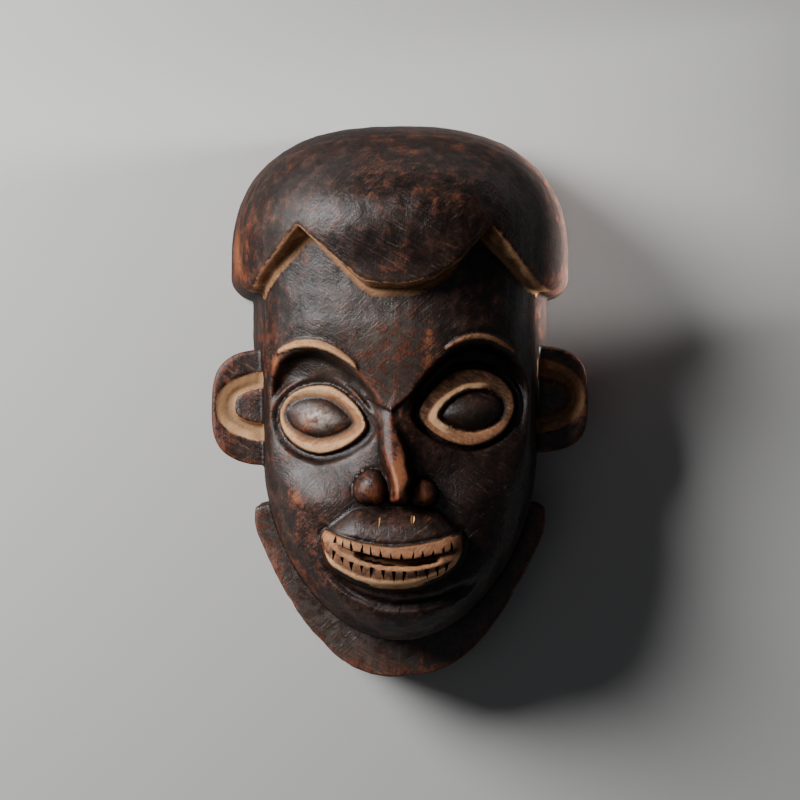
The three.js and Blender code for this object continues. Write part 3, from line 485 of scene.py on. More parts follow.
# %% [markdown]
# ## The block
# The block is a field over a grid: negative inside the wood, and about the distance in millimetres near its
# surface. A field lets big forms flow into each other with small rounded joints, which is hard to do with
# separate meshes. A raw formula is turned into a distance by dividing it by its own slope.
# %% Grid
SIDE_X, LOW_Y, HIGH_Y, HIGH_Z, BELOW_RIM = 148.0, -215.0, 218.0, 205.0, 0.6
LEAST_SLOPE = 0.003
xs = np.arange(-SIDE_X, SIDE_X + STEP, STEP, dtype=np.float32)
ys = np.arange(LOW_Y, HIGH_Y + STEP, STEP, dtype=np.float32)
zs = np.arange(-2.0 * STEP - BELOW_RIM, HIGH_Z + STEP, STEP, dtype=np.float32)
X, Y, Z = xs[:, None, None], ys[None, :, None], zs[None, None, :]
X2, Y2 = np.meshgrid(xs, ys, indexing="ij")


def as_distance(raw):
    gx, gy, gz = np.gradient(raw, STEP)
    gx *= gx
    gx += gy * gy
    gx += gz * gz
    np.sqrt(gx, out=gx)
    np.maximum(gx, LEAST_SLOPE, out=gx)
    return raw / gx


print("grid", len(xs), "by", len(ys), "by", len(zs))

# %% [markdown]
# The head is one rounded form whose front is the ridge line. Its sides flare out towards the rear rim. The
# carved features shift its height, so that they keep their depth where the front curves away.
# %% Head


def head_field():
    carved = (face_height(X2, Y2) - base_height(X2, Y2)).astype(np.float32)
    temple_flare = TEMPLE_REAR_HALF_WIDTH - FACE_HALF_WIDTH
    flare_now = mix(JAW_REAR_FLARE, temple_flare, smooth(Y, JAW_START_Y, TEMPLE_Y))
    lift = np.maximum(Z - carved[:, :, None] - FACE_EDGE_Z, 0.0)
    drop = np.clip(1.0 - (np.maximum(Z, 0.0) / FACE_EDGE_Z) ** 2, 0.0, 1.0)
    out = np.maximum(np.abs(X) - flare_now * drop, 0.0)
    q = plan_radius(out, Y) ** FACE_ROUND
    q += (lift / (ridge_line(Y) - FACE_EDGE_Z)) ** FACE_ROUND
    q = (q ** (1.0 / FACE_ROUND) - 1.0).astype(np.float32)
    return np.maximum(as_distance(q), Y - HEAD_TOP_Y)


field = head_field()
print("head, grid cells in the wood", int((field < 0.0).sum()))

# %% [markdown]
# The hair is a domed cap. Its front falls back a little towards the forehead. The hairline is drawn on the
# cap's own surface, so that it wraps round the sides: a round middle lobe, a notch on each side, and a side
# lobe that runs on to the rear. The cut below it leans, as the light on the photographed cut shows.
# %% Hair cap
LOBE_FLAT, LOBE_BEND, LOBE_POWER, HAIRLINE_DRAFT = 0.3, 0.12, 2.2, 0.18
FALL_BACK_FROM_Y, FALL_BACK_SHARE = 150.0, 0.06
SIDE_LOBE_CORNER = 4.0
MIDDLE_STEEPNESS, NOTCH_STEEPNESS = 0.8, 0.66
FRONT_CORNER, SIDE_CORNER, CORNER_FROM_X, CORNER_TO_X = 3.0, 15.0, 104.0, 126.0


def lobe_curve(t, right):
    """0 in the middle of the lobe, 1 at the notch. The left flank is straight, the right one is hollow."""

    def bend(v):
        w = (v - LOBE_FLAT) / (1.0 - LOBE_FLAT)
        return 0.5 * (w + np.sqrt(w * w + LOBE_BEND * LOBE_BEND))

    return np.where(right, t ** LOBE_POWER, (bend(t) - bend(0.0)) / (bend(1.0) - bend(0.0)))


def cap_distances():
    """Distance from the cap's shell and from the hairline, and how round the edge between them is."""
    up = np.maximum(Y - CAP_WAIST_Y, 0.0) / (CROWN_Y - CAP_WAIST_Y)
    ax = np.abs(X) / CAP_HALF_WIDTH
    depth = CAP_DEPTH * (1.0 - FALL_BACK_SHARE * smooth(Y, FALL_BACK_FROM_Y, REAR_HAIRLINE_Y))
    az = np.maximum(Z, 0.0) / depth
    raw = (ax ** CAP_ROUND + az ** CAP_ROUND + up ** CAP_ROUND) ** (1.0 / CAP_ROUND) - 1.0
    shell = as_distance(raw.astype(np.float32))
    nx = ax ** (CAP_ROUND - 1.0) / CAP_HALF_WIDTH
    nz = az ** (CAP_ROUND - 1.0) / depth
    length = np.hypot(nx, nz) + 1e-9
    edge_x = np.abs(X) - shell * nx / length
    edge_z = np.maximum(Z, 0.0) - shell * nz / length
    across = np.maximum(edge_x, 0.0) ** (CAP_ROUND / 2.0)
    angle = np.arctan2(across, np.maximum(edge_z * CAP_HALF_WIDTH / depth, 0.0) ** (CAP_ROUND / 2.0))
    along = np.sign(X) * edge_x - HAIRLINE_SHIFT_X
    off = np.abs(along)
    middle = mix(MIDDLE_LOBE_Y, NOTCH_Y, lobe_curve(off / NOTCH_X, along > 0.0))
    side = mix(NOTCH_Y, SIDE_LOBE_Y, (off - NOTCH_X) / (SIDE_LOBE_X - NOTCH_X))
    lobe_angle = math.asin((SIDE_LOBE_X / CAP_HALF_WIDTH) ** (CAP_ROUND / 2.0))
    rear = mix(SIDE_LOBE_Y, REAR_HAIRLINE_Y, (angle - lobe_angle) / (math.pi / 2.0 - lobe_angle))
    line = np.where(off <= NOTCH_X, middle, cut(side, rear, SIDE_LOBE_CORNER))
    slope = np.where(off <= NOTCH_X, MIDDLE_STEEPNESS, np.where(side > rear, NOTCH_STEEPNESS, 1.0))
    hair = ((line - Y) * slope + HAIRLINE_DRAFT * np.minimum(shell, 0.0)).astype(np.float32)
    corner = mix(FRONT_CORNER, SIDE_CORNER, smooth(edge_x, CORNER_FROM_X, CORNER_TO_X))
    return shell, hair, corner.astype(np.float32)


HAIR_JOINT = 1.5
cap_shell, hair_line, lobe_corner = cap_distances()
field = union(field, cut(cap_shell, hair_line, lobe_corner), HAIR_JOINT)
print("with the hair", int((field < 0.0).sum()))

# %% [markdown]
# Slow unevenness, such as a chipped edge or a hand-worked surface has, comes from smooth noise: random
# values on a coarse grid with a fixed seed, blended between. Its cell size is a length in millimetres.
# %% Soft noise


def soft_noise(cell, seed):
    """Smooth noise from 0 to 1 over the grid, one random value to each cell of that many millimetres."""
    rng = np.random.default_rng(seed)
    spans = [int((a[-1] - a[0]) / cell) + 3 for a in (xs, ys, zs)]
    values = rng.random(spans).astype(np.float32)
    for axis, a in enumerate((xs, ys, zs)):
        place = (a - a[0]) / cell
        low = place.astype(int)
        share = place - low
        share = (share * share * (3.0 - 2.0 * share)).astype(np.float32)
        shape = [1, 1, 1]
        shape[axis] = len(a)
        share = share.reshape(shape)
        values = np.take(values, low, axis) * (1.0 - share) + np.take(values, low + 1, axis) * share
    return values


CHIP_DEPTH, CHIP_CELL, CHIP_SEED, CHIP_LEVEL, CHIP_MOST = 4.5, 9.0, 12, 0.6, 0.3
chips = CHIP_DEPTH * np.clip(soft_noise(CHIP_CELL, CHIP_SEED) - CHIP_LEVEL, 0.0, CHIP_MOST)
print("chips up to", round(float(chips.max()), 1), "mm deep")

# %% [markdown]
# The collar is a board round the jaw: a crescent in plan, with its top cut off almost level on each side and
# its outer edge chipped near the front.
# %% Collar
COLLAR_HALF_WIDTH, COLLAR_LOW_Y, COLLAR_END_Y, COLLAR_POWER = 111.0, -210.0, -95.0, 2.4
COLLAR_TOP_Y, COLLAR_TOP_SLANT, COLLAR_TALL = -79.0, 0.2, 130.0
COLLAR_TOP_Z, COLLAR_LOW_Z = 80.0, 74.0
COLLAR_SIDE_CORNER, COLLAR_TOP_CORNER, COLLAR_FRONT_CORNER, COLLAR_JOINT = 3.0, 2.0, 2.5, 1.5
CHIPS_FROM_Z, CHIPS_FULL_Z = 30.0, 66.0


def collar_field():
    lift = (np.abs(X2) / COLLAR_HALF_WIDTH) ** COLLAR_POWER
    raw = mix(COLLAR_LOW_Y, COLLAR_END_Y, lift) - Y2
    gx, gy = np.gradient(raw, STEP)
    edge = raw / np.hypot(gx, gy)
    edge = cut(edge, np.abs(X2) - COLLAR_HALF_WIDTH, COLLAR_SIDE_CORNER)
    slant = COLLAR_TOP_SLANT * np.maximum(COLLAR_HALF_WIDTH - np.abs(X2), 0.0)
    edge = cut(edge, Y2 - COLLAR_TOP_Y - slant, COLLAR_TOP_CORNER)
    front = mix(COLLAR_TOP_Z, COLLAR_LOW_Z, (COLLAR_TOP_Y - Y2) / COLLAR_TALL)
    chipped = edge[:, :, None].astype(np.float32) + chips * smooth(Z, CHIPS_FROM_Z, CHIPS_FULL_Z)
    return cut(chipped, Z - front[:, :, None], COLLAR_FRONT_CORNER)


field = union(field, collar_field(), COLLAR_JOINT)
print("with the collar", int((field < 0.0).sum()))

# %% [markdown]
# The ears are D-shaped slabs that grow from the sides of the head. Each has a U-shaped groove round a boss;
# rim, groove and boss are the same half oval at three sizes. The groove slopes down from the rim to its
# floor, and the boss keeps the full height.
# %% Ears
EARS = (dict(side=-1.0, top=41.0, bottom=-49.0, reach=143.0, power=3.0,
             groove=dict(middle=-3.4, half=26.5, reach=139.0, power=2.3),
             boss=dict(middle=-3.2, half=13.8, reach=124.5, power=2.6)),
        dict(side=1.0, top=43.0, bottom=-39.0, reach=143.0, power=3.4,
             groove=dict(middle=4.6, half=29.0, reach=139.5, power=2.3),
             boss=dict(middle=3.4, half=15.0, reach=128.0, power=2.6)))
EAR_ROOT_X, EAR_FRONT_Z, EAR_THICKNESS, EAR_EDGE_CORNER, EAR_JOINT = 92.0, 90.0, 26.0, 3.5, 2.0
EAR_GROOVE_DEPTH, GROOVE_LIP_DEPTH, GROOVE_LIP_RUN, GROOVE_RUN = 5.5, 1.4, 0.6, 9.0
GROOVE_PROFILE = ((-0.5, 0.0), (GROOVE_LIP_RUN, GROOVE_LIP_DEPTH), (GROOVE_RUN, EAR_GROOVE_DEPTH),
                  (40.0, EAR_GROOVE_DEPTH))
GROOVE_CORNER, GROOVE_SLANT, LEAST_OVAL_SLOPE = 1.2, 0.8, 0.004


def half_oval(ear, x, y, middle, half, reach, power):
    """Distance outside a half oval that grows from the head's side."""
    u = np.maximum(ear["side"] * x - EAR_ROOT_X, 0.0) / (reach - EAR_ROOT_X)
    v = np.abs(y - middle) / half
    r = (u ** power + v ** power) ** (1.0 / power) + 1e-9
    slope = np.hypot(u ** (power - 1.0) / (reach - EAR_ROOT_X), v ** (power - 1.0) / half)
    return (r - 1.0) / np.maximum(slope / r ** (power - 1.0), LEAST_OVAL_SLOPE)


def ear_groove(ear, x, y):
    return np.maximum(half_oval(ear, x, y, **ear["groove"]), -half_oval(ear, x, y, **ear["boss"]))


def ear_field(ear):
    middle, half = (ear["top"] + ear["bottom"]) / 2.0, (ear["top"] - ear["bottom"]) / 2.0
    rim = half_oval(ear, X2, Y2, middle, half, ear["reach"], ear["power"])
    from_rim = -half_oval(ear, X2, Y2, **ear["groove"])
    from_boss = half_oval(ear, X2, Y2, **ear["boss"])
    floor = EAR_FRONT_Z - np.interp(from_rim, *zip(*GROOVE_PROFILE)) * smooth(from_boss, -0.8, 2.2)
    from_faces = np.abs(Z - (EAR_FRONT_Z - EAR_THICKNESS / 2.0)) - EAR_THICKNESS / 2.0
    slab = cut(rim[:, :, None], from_faces, EAR_EDGE_CORNER)
    slab = cut(slab, (Z - floor[:, :, None]) * GROOVE_SLANT, GROOVE_CORNER)
    return np.maximum(slab, EAR_ROOT_X - ear["side"] * X).astype(np.float32)


for ear in EARS:
    field = union(field, ear_field(ear), EAR_JOINT)
print("with the ears", int((field < 0.0).sum()))

# %% [markdown]
# The back is hollowed for the wearer's face, one rounded form that is a little shorter towards the crown.
# Then the whole surface gets the slow waves and ripples of hand work, and the rear rim is cut flat, so that
# the mask lies steady on it.
# %% Hollow and finish
HOLLOW_HALF_WIDTH, HOLLOW_MIDDLE_Y, HOLLOW_DEPTH, HOLLOW_POWER = 92.0, 10.0, 132.0, 2.4
HOLLOW_UP, HOLLOW_DOWN, HOLLOW_CORNER, RIM_CORNER = 178.0, 186.0, 3.0, 1.5
WAVE_HEIGHT, WAVE_CELL, WAVE_SEED = 0.9, 26.0, 3
RIPPLE_HEIGHT, RIPPLE_CELL, RIPPLE_SEED = 0.35, 7.0, 5


def hollow_field():
    reach = np.where(Y > HOLLOW_MIDDLE_Y, HOLLOW_UP, HOLLOW_DOWN)
    across = (np.abs(X) / HOLLOW_HALF_WIDTH) ** HOLLOW_POWER
    tall = (np.abs(Y - HOLLOW_MIDDLE_Y) / reach) ** HOLLOW_POWER
    deep = (np.maximum(Z, 0.0) / HOLLOW_DEPTH) ** HOLLOW_POWER
    r = across + tall + deep
    return as_distance((r ** (1 / HOLLOW_POWER) - 1.0).astype(np.float32))


hollow = hollow_field()
field = cut(field, -hollow, HOLLOW_CORNER)
waves = WAVE_HEIGHT * soft_noise(WAVE_CELL, WAVE_SEED)
field += waves + RIPPLE_HEIGHT * soft_noise(RIPPLE_CELL, RIPPLE_SEED)
field = cut(field, -Z, RIM_CORNER).astype(np.float32)
print("field", field.shape)

# %% [markdown]
# The surface is taken from the field with one point in each cell that the surface crosses, and one quad for
# each grid edge that it crosses. That gives a closed surface of even faces, which thins and cuts well.
# %% Surface of the block


def surface_net(values):
    inside = values < 0.0
    count = sum(inside[i:i - 1 or None, j:j - 1 or None, k:k - 1 or None].astype(np.int8)
                for i in (0, 1) for j in (0, 1) for k in (0, 1))
    cells = np.argwhere((count > 0) & (count < 8))
    total = np.zeros((len(cells), 3))
    hits = np.zeros(len(cells))
    corners = [np.array((i, j, k)) for i in (0, 1) for j in (0, 1) for k in (0, 1)]
    for a in corners:
        for axis in range(3):
            if a[axis]:
                continue
            b = a.copy()
            b[axis] = 1
            va = values[tuple((cells + a).T)]
            vb = values[tuple((cells + b).T)]
            crossed = (va < 0) != (vb < 0)
            share = np.where(crossed, va / np.where(crossed, va - vb, 1.0), 0.0)
            point = cells + a + share[:, None] * (b - a)
            total[crossed] += point[crossed]
            hits += crossed
    points = total / hits[:, None]
    index = np.full(count.shape, -1, dtype=np.int64)
    index[tuple(cells.T)] = np.arange(len(cells))
    quads = []
    for axis in range(3):
        u, v = (axis + 1) % 3, (axis + 2) % 3
        low = [slice(None)] * 3
        high = [slice(None)] * 3
        low[axis], high[axis] = slice(None, -1), slice(1, None)
        flips = np.argwhere(inside[tuple(low)] != inside[tuple(high)])
        flips = flips[(flips[:, u] > 0) & (flips[:, v] > 0)]
        flips = flips[(flips[:, u] < inside.shape[u] - 1) & (flips[:, v] < inside.shape[v] - 1)]
        eu, ev = np.eye(3, dtype=int)[u], np.eye(3, dtype=int)[v]
        ring = [index[tuple((flips - du * eu - dv * ev).T)] for du, dv in ((1, 1), (0, 1), (0, 0), (1, 0))]
        quad = np.stack(ring, axis=1)
        outward = inside[tuple(flips.T)]
        quad[~outward] = quad[~outward][:, ::-1]
        quads.append(quad)
    return points, np.concatenate(quads)


points, quads = surface_net(field)
origin = np.array((xs[0], ys[0], zs[0]))
points = points * STEP + origin
print("surface", len(points), "points", len(quads), "quads")

# %% [markdown]
# The net becomes a mesh in metres, in its place in the frame, and is thinned to a size that a library part
# can carry. The flat stretches lose the most faces and the carved ones keep theirs.
# %% Mesh of the mask
MIDDLE = np.array((0.0, MIDDLE_Y, 0.0))
MOST_TRIANGLES = 190000


def bake_modifiers(piece):
    graph = bpy.context.evaluated_depsgraph_get()
    baked = bpy.data.meshes.new_from_object(piece.evaluated_get(graph))
    piece.modifiers.clear()
    piece.data = baked


mesh = bpy.data.meshes.new("mask_carving")
mesh.from_pydata(((points - MIDDLE) * MM).tolist(), [], quads.tolist())
mesh.validate()
mask = bpy.data.objects.new("mask_carving", mesh)
bpy.context.scene.collection.objects.link(mask)
thin = mask.modifiers.new("thin", "DECIMATE")
thin.ratio = min(1.0, MOST_TRIANGLES / (2.0 * len(quads)))
bake_modifiers(mask)
print("thinned to", len(mask.data.vertices), "points", len(mask.data.polygons), "faces")

# %% [markdown]
# ## Tool marks
# Marks and finishes are worked out point by point. One helper reads the mesh's points or normals, and one
# looks up a value of the block's grid at each point.
# %% Helpers for points


def read_vectors(layer, key):
    flat = np.empty(len(layer) * 3, dtype=np.float32)
    layer.foreach_get(key, flat)
    return flat.reshape(-1, 3).astype(float)


def sampled(grid, at):
    """The grid's value at each point, from the eight cells around it."""
    place = (at - origin) / STEP
    low = np.clip(place.astype(int), 0, np.array(grid.shape) - 2)
    share = place - low
    total = 0.0
    for i in (0, 1):
        for j in (0, 1):
            for k in (0, 1):
                weight = np.ones(len(at))
                for axis, side in enumerate((i, j, k)):
                    weight = weight * (share[:, axis] if side else 1.0 - share[:, axis])
                total = total + weight * grid[tuple((low + (i, j, k)).T)]
    return total


spots = read_vectors(mask.data.vertices, "co")
at = spots / MM + MIDDLE
px, py, pz = at.T
print("points from", at.min(axis=0).round(1), "to", at.max(axis=0).round(1))

# %% [markdown]
# The adze leaves shallow scallops, longer than wide, with soft ridges between them. Each point sinks by its
# distance from the nearest of a set of scattered centres. Marks are lighter on the finely carved face and on
# the ears, coarser in the hollow, and they end just above the flat rear rim.
# %% Tool marks
ADZE = dict(wide=11.0, tall=19.0, seed=11)
GOUGE = dict(wide=16.0, tall=27.0, seed=5)
ADZE_DEPTH, FACE_DEPTH, GOUGE_DEPTH = 0.55, 0.18, 1.1
SCATTER, MARK_ROUND = 64, 1.4
HOLLOW_SKIN = 1.5
CARVED_Y, CARVED_HALF_WIDTH, CARVED_HALF_HEIGHT, CARVED_FROM_Z = -45.0, 92.0, 105.0, 95.0
RIM_PLAIN_Z, RIM_MARKS_Z = 0.5, 6.0
EAR_X, EAR_HALF_REACH, GROOVE_Z, GROOVE_HALF_HEIGHT, EAR_CALM = 118.0, 28.0, 84.0, 10.0, 0.6


def scallops(where, wide, tall, seed):
    """0 on the ridges, 1 in the middle of a scallop."""
    rng = np.random.default_rng(seed)
    scatter = rng.random((SCATTER, SCATTER, SCATTER, 3), dtype=np.float32)
    cell = where / np.array((wide, tall, wide))
    low = np.floor(cell).astype(int)
    nearest = np.full(len(where), 9.0)
    for i in (-1, 0, 1):
        for j in (-1, 0, 1):
            for k in (-1, 0, 1):
                near = low + (i, j, k)
                centre = near + scatter[tuple((near % SCATTER).T)]
                nearest = np.minimum(nearest, np.sum((cell - centre) ** 2, axis=1))
    return 1.0 - np.clip(nearest * MARK_ROUND, 0.0, 1.0)


in_hollow = sampled(hollow, at) < HOLLOW_SKIN
from_carving = np.hypot(px / CARVED_HALF_WIDTH, (py - CARVED_Y) / CARVED_HALF_HEIGHT)
fine_work = (1.0 - smooth(from_carving, 0.85, 1.0)) * (pz > CARVED_FROM_Z)
sink = mix(ADZE_DEPTH, FACE_DEPTH, fine_work) * scallops(at, **ADZE)
sink = np.where(in_hollow, GOUGE_DEPTH * scallops(at, **GOUGE), sink)
sink = sink * smooth(pz, RIM_PLAIN_Z, RIM_MARKS_Z)
on_ear = np.abs(np.abs(px) - EAR_X) < EAR_HALF_REACH
at_groove = np.abs(pz - GROOVE_Z) < GROOVE_HALF_HEIGHT
sink = sink * np.where(on_ear, 1.0 - EAR_CALM * at_groove, 1.0)
spots = spots - read_vectors(mask.data.vertex_normals, "vector") * sink[:, None] * MM
spots[:, 2] = np.maximum(spots[:, 2], 0.0)
mask.data.vertices.foreach_set("co", spots.astype(np.float32).ravel())
mask.data.update()
print("tool marks up to", round(float(sink.max()), 2), "mm")

# %% [markdown]
# ## Knife cuts
# The teeth are parted by small wedge cuts along two lines, the upper row pointing up and the lower row down.
# Two nicks in the upper lip and one in the chin are cut the same way. Geometry Nodes sets a four-sided wedge
# at even steps along a line, each a little different, because a knife never repeats a cut exactly.
# %% The wedge tree
LEAST_SIZE, MOST_SIZE, MOST_TILT = (0.7, 0.75, 0.8), (1.35, 1.2, 1.15), 0.18
VECTOR = {"data_type": "FLOAT_VECTOR"}
wedges = bpy.data.node_groups.new("wedges_along_a_line", "GeometryNodeTree")
wedges.interface.new_socket("Geometry", in_out="OUTPUT", socket_type="NodeSocketGeometry")
for name, kind in (("Geometry", "Geometry"), ("Count", "Int"), ("Half width", "Float"), ("Length", "Float"),
                   ("Half depth", "Float"), ("Turn", "Float"), ("Seed", "Int"), ("Material", "Material")):
    wedges.interface.new_socket(name, in_out="INPUT", socket_type="NodeSocket" + kind)
given = add(wedges, "NodeGroupInput", {}, {}, None).outputs
line = add(wedges, "GeometryNodeMeshToCurve", {}, {"Mesh": given["Geometry"]})
stops = add(wedges, "GeometryNodeResampleCurve", {}, {"Curve": line, "Count": given["Count"]})
wedge = add(wedges, "GeometryNodeMeshCone", {}, {"Vertices": 4, "Radius Bottom": 1.0, "Depth": 1.0}, "Mesh")
size = {"X": given["Half width"], "Y": given["Half depth"], "Z": given["Length"]}
size = add(wedges, "ShaderNodeCombineXYZ", {}, size)
turn = add(wedges, "ShaderNodeCombineXYZ", {}, {"X": given["Turn"]})
wedge = add(wedges, "GeometryNodeTransform", {}, {"Geometry": wedge, "Rotation": turn, "Scale": size})
vary = {0: LEAST_SIZE, 1: MOST_SIZE, "Seed": given["Seed"]}
vary = add(wedges, "FunctionNodeRandomValue", VECTOR, vary)
tilt = {0: (0.0, 0.0, -MOST_TILT), 1: (0.0, 0.0, MOST_TILT), "Seed": given["Seed"]}
tilt = add(wedges, "FunctionNodeRandomValue", VECTOR, tilt)
row = {"Points": stops, "Instance": wedge, "Rotation": tilt, "Scale": vary}
row = add(wedges, "GeometryNodeInstanceOnPoints", {}, row)
row = add(wedges, "GeometryNodeRealizeInstances", {}, {"Geometry": row})
row = add(wedges, "GeometryNodeSetMaterial", {}, {"Geometry": row, "Material": given["Material"]})
add(wedges, "NodeGroupOutput", {}, {"Geometry": row}, None)
print("wedge tree", len(wedges.nodes), "nodes")

# %% [markdown]
# Each row is a line laid on the carved surface. "reach" is how far a wedge runs up or down from it, and "up"
# shifts the line. The wedge is turned to run with the way the surface falls along the cut.
# %% Rows of cuts
DARK_CUT, CLAY_CUT = 1, 2
LINE_POINTS, INSET = 60, 1.5


def level(y):
    """A straight line across the mask, for a single nick."""
    return lambda x: np.full_like(x, y)


ROWS = (dict(name="upper_tooth_cuts", line=upper_teeth, up=-0.6, x=(-47.5, 38.0), count=13, reach=9.6,
             wide=1.5, deep=4.0, seed=4, kind=DARK_CUT),
        dict(name="lower_tooth_cuts", line=lower_teeth, up=-1.2, x=(-48.0, 34.0), count=12, reach=-11.0,
             wide=1.7, deep=4.2, seed=9, kind=DARK_CUT),
        dict(name="left_lip_nick", line=level(-83.0), up=0.0, x=(-14.8, -14.2), count=1, reach=-13.0,
             wide=1.1, deep=4.0, seed=2, kind=CLAY_CUT),
        dict(name="right_lip_nick", line=level(-82.0), up=0.0, x=(9.4, 10.0), count=1, reach=-17.0,
             wide=1.9, deep=5.5, seed=3, kind=CLAY_CUT),
        dict(name="chin_nick", line=level(-147.0), up=0.0, x=(0.6, 1.4), count=1, reach=-12.0,
             wide=0.8, deep=3.2, seed=5, kind=DARK_CUT))
wood = bpy.data.materials.new("smoked_hardwood_with_kaolin")
identifiers = {item.name: item.identifier for item in wedges.interface.items_tree if item.in_out == "INPUT"}


def cutter(row):
    x = np.linspace(*row["x"], LINE_POINTS)
    y = row["line"](x) + row["up"]
    way = math.copysign(1.0, row["reach"])
    z = face_height(x, y + INSET * way)
    fall = float(np.mean(face_height(x, y + row["reach"]) - z))
    lean = math.atan2(fall, abs(row["reach"]))
    data = bpy.data.meshes.new(row["name"])
    points = np.stack((x, y - MIDDLE_Y, z), axis=1) * MM
    data.from_pydata(points.tolist(), [(i, i + 1) for i in range(LINE_POINTS - 1)], [])
    piece = bpy.data.objects.new(row["name"], data)
    bpy.context.scene.collection.objects.link(piece)
    maker = piece.modifiers.new("wedges", "NODES")
    maker.node_group = wedges
    sizes = {"Count": row["count"], "Half width": row["wide"] * MM, "Length": abs(row["reach"]) * MM,
             "Half depth": row["deep"] * MM, "Turn": way * (lean - math.pi / 2.0), "Seed": row["seed"],
             "Material": wood}
    for name, value in sizes.items():
        maker[identifiers[name]] = value
    bake_modifiers(piece)
    piece.data.polygons.foreach_set("material_index", [row["kind"]] * len(piece.data.polygons))
    return piece


print("rows of cuts", len(ROWS))

# %% [markdown]
# The wedges are taken out of the wood with an exact boolean, so the notches are real. A new face takes the
# material number of its wedge; that number is kept on the faces, and the slots are then made one again.
# %% Cutting the rows
for kind in (0, DARK_CUT, CLAY_CUT):
    mask.data.materials.append(wood)
for row in ROWS:
    wedge_row = cutter(row)
    knife = mask.modifiers.new("knife", "BOOLEAN")
    knife.operation, knife.solver, knife.object = "DIFFERENCE", "EXACT", wedge_row
    bake_modifiers(mask)
    print(wedge_row.name, len(wedge_row.data.polygons), "faces; mask now", len(mask.data.vertices), "points")
    bpy.data.objects.remove(wedge_row)
kinds = np.zeros(len(mask.data.polygons), dtype=np.int32)
mask.data.polygons.foreach_get("material_index", kinds)
mask.data.attributes.new("cut", "FLOAT", "FACE").data.foreach_set("value", kinds.astype(np.float32))
mask.data.polygons.foreach_set("material_index", np.zeros(len(kinds), dtype=np.int32))
print("cut faces", int((kinds == DARK_CUT).sum()), "dark,", int((kinds == CLAY_CUT).sum()), "filled")

# %% [markdown]
# ## What the points tell the material
# How far a point stands out of, or lies below, the smoothed block around it gives the worn edges and the
# sooty hollows. The field, blurred over a few cells, is read at the point: inside the wood it is negative,
# so a positive mean says that the point stands out.
# %% Edges and hollows
NEAR_CELLS, FAR_CELLS, NEAR_SHARE, FAR_SHARE = 2, 4, 1.6, 0.35


def blurred(grid, radius):
    """Running mean along each axis."""
    out = grid
    for axis in range(3):
        sums = np.cumsum(out, axis=axis, dtype=np.float32)
        n = out.shape[axis]
        last = np.minimum(np.arange(n) + radius, n - 1)
        first = np.maximum(np.arange(n) - radius - 1, 0)
        wide = (last - first).reshape([-1 if a == axis else 1 for a in range(3)]).astype(np.float32)
        out = (np.take(sums, last, axis) - np.take(sums, first, axis)) / wide
    return out


def write_attribute(piece, name, values):
    layer = piece.data.attributes.new(name, "FLOAT", "POINT")
    layer.data.foreach_set("value", np.ascontiguousarray(values, dtype=np.float32))


at = read_vectors(mask.data.vertices, "co") / MM + MIDDLE
px, py, pz = at.T
near = sampled(blurred(field, NEAR_CELLS), at)
far = sampled(blurred(blurred(field, FAR_CELLS), FAR_CELLS), at)
curve = np.clip(near * NEAR_SHARE + far * FAR_SHARE, -2.0, 2.0)
write_attribute(mask, "edge", np.clip(curve, 0.0, 1.0))
write_attribute(mask, "cavity", np.clip(-curve, 0.0, 1.0))
print("curve", np.percentile(curve, (1, 10, 50, 90, 99)).round(2))

# %% [markdown]
# White clay is rubbed into the eye rings, brows, mouth, ear grooves and the cut of the hairline. Where it
# lies is written in millimetres inside its edge, and "clay_tone" says how pale it is: 0 is brown, 1 is clean.
# It is partly the clay's own wear and partly painted light and shade: the clay on the right half, away from
# the light, is painted darker than on the left, and sides that face the light are painted lighter.
# %% Clay on eyes and brows
NO_CLAY = -8.0
FRONT_Z = 100.0
painted = np.full(len(at), NO_CLAY)
tone = np.full(len(at), 0.5)


def paint(where, distance, freshness_and_shade):
    """Lays clay where it reaches further inside its edge than what is there already."""
    distance = np.where(where, distance, NO_CLAY)
    on = distance > painted
    painted[on] = distance[on]
    tone[on] = np.broadcast_to(freshness_and_shade, painted.shape)[on]


front = pz > FRONT_Z
left_half = 1.0 - smooth(px, -30.0, 30.0)
for eye in EYES:
    ring, ball = almond(eye, "ring", px, py), almond(eye, "ball", px, py)
    bevel = 1.0 - smooth(ball, 1.3, 1.42)
    lit = towards_light(eye, px, py)
    # Painted light and shade on the eyes: the left bevel is painted darker away from the light; the right eye
    # is painted dark as shade, and lighter on its bevel towards the light and on its lower ring.
    left_tone = 0.9 - 0.35 * bevel * (1.0 - lit)
    right_tone = 0.24 + 1.1 * bevel * lit + 0.3 * smooth(eye["ring"][1] - py, 8.0, 18.0)
    fresh_and_shade = left_tone if eye["side"] < 0.0 else right_tone
    paint(front, np.minimum((ball - 1.01) * 15.0, (1.015 - ring) * 26.0), fresh_and_shade)
# The right brow's clay is painted darker than the left as shade.
for brow, fresh_and_shade in zip(BROWS, (0.66, 0.45)):
    reach = brow_distance(brow, px, py)
    low_side = smooth(brow_line(brow, px) - py, -1.0, 1.5)
    paint(front, 0.3 - reach, fresh_and_shade + 0.25 * low_side)
print("clay on", int((painted > 0.0).sum()), "points of eyes and brows")

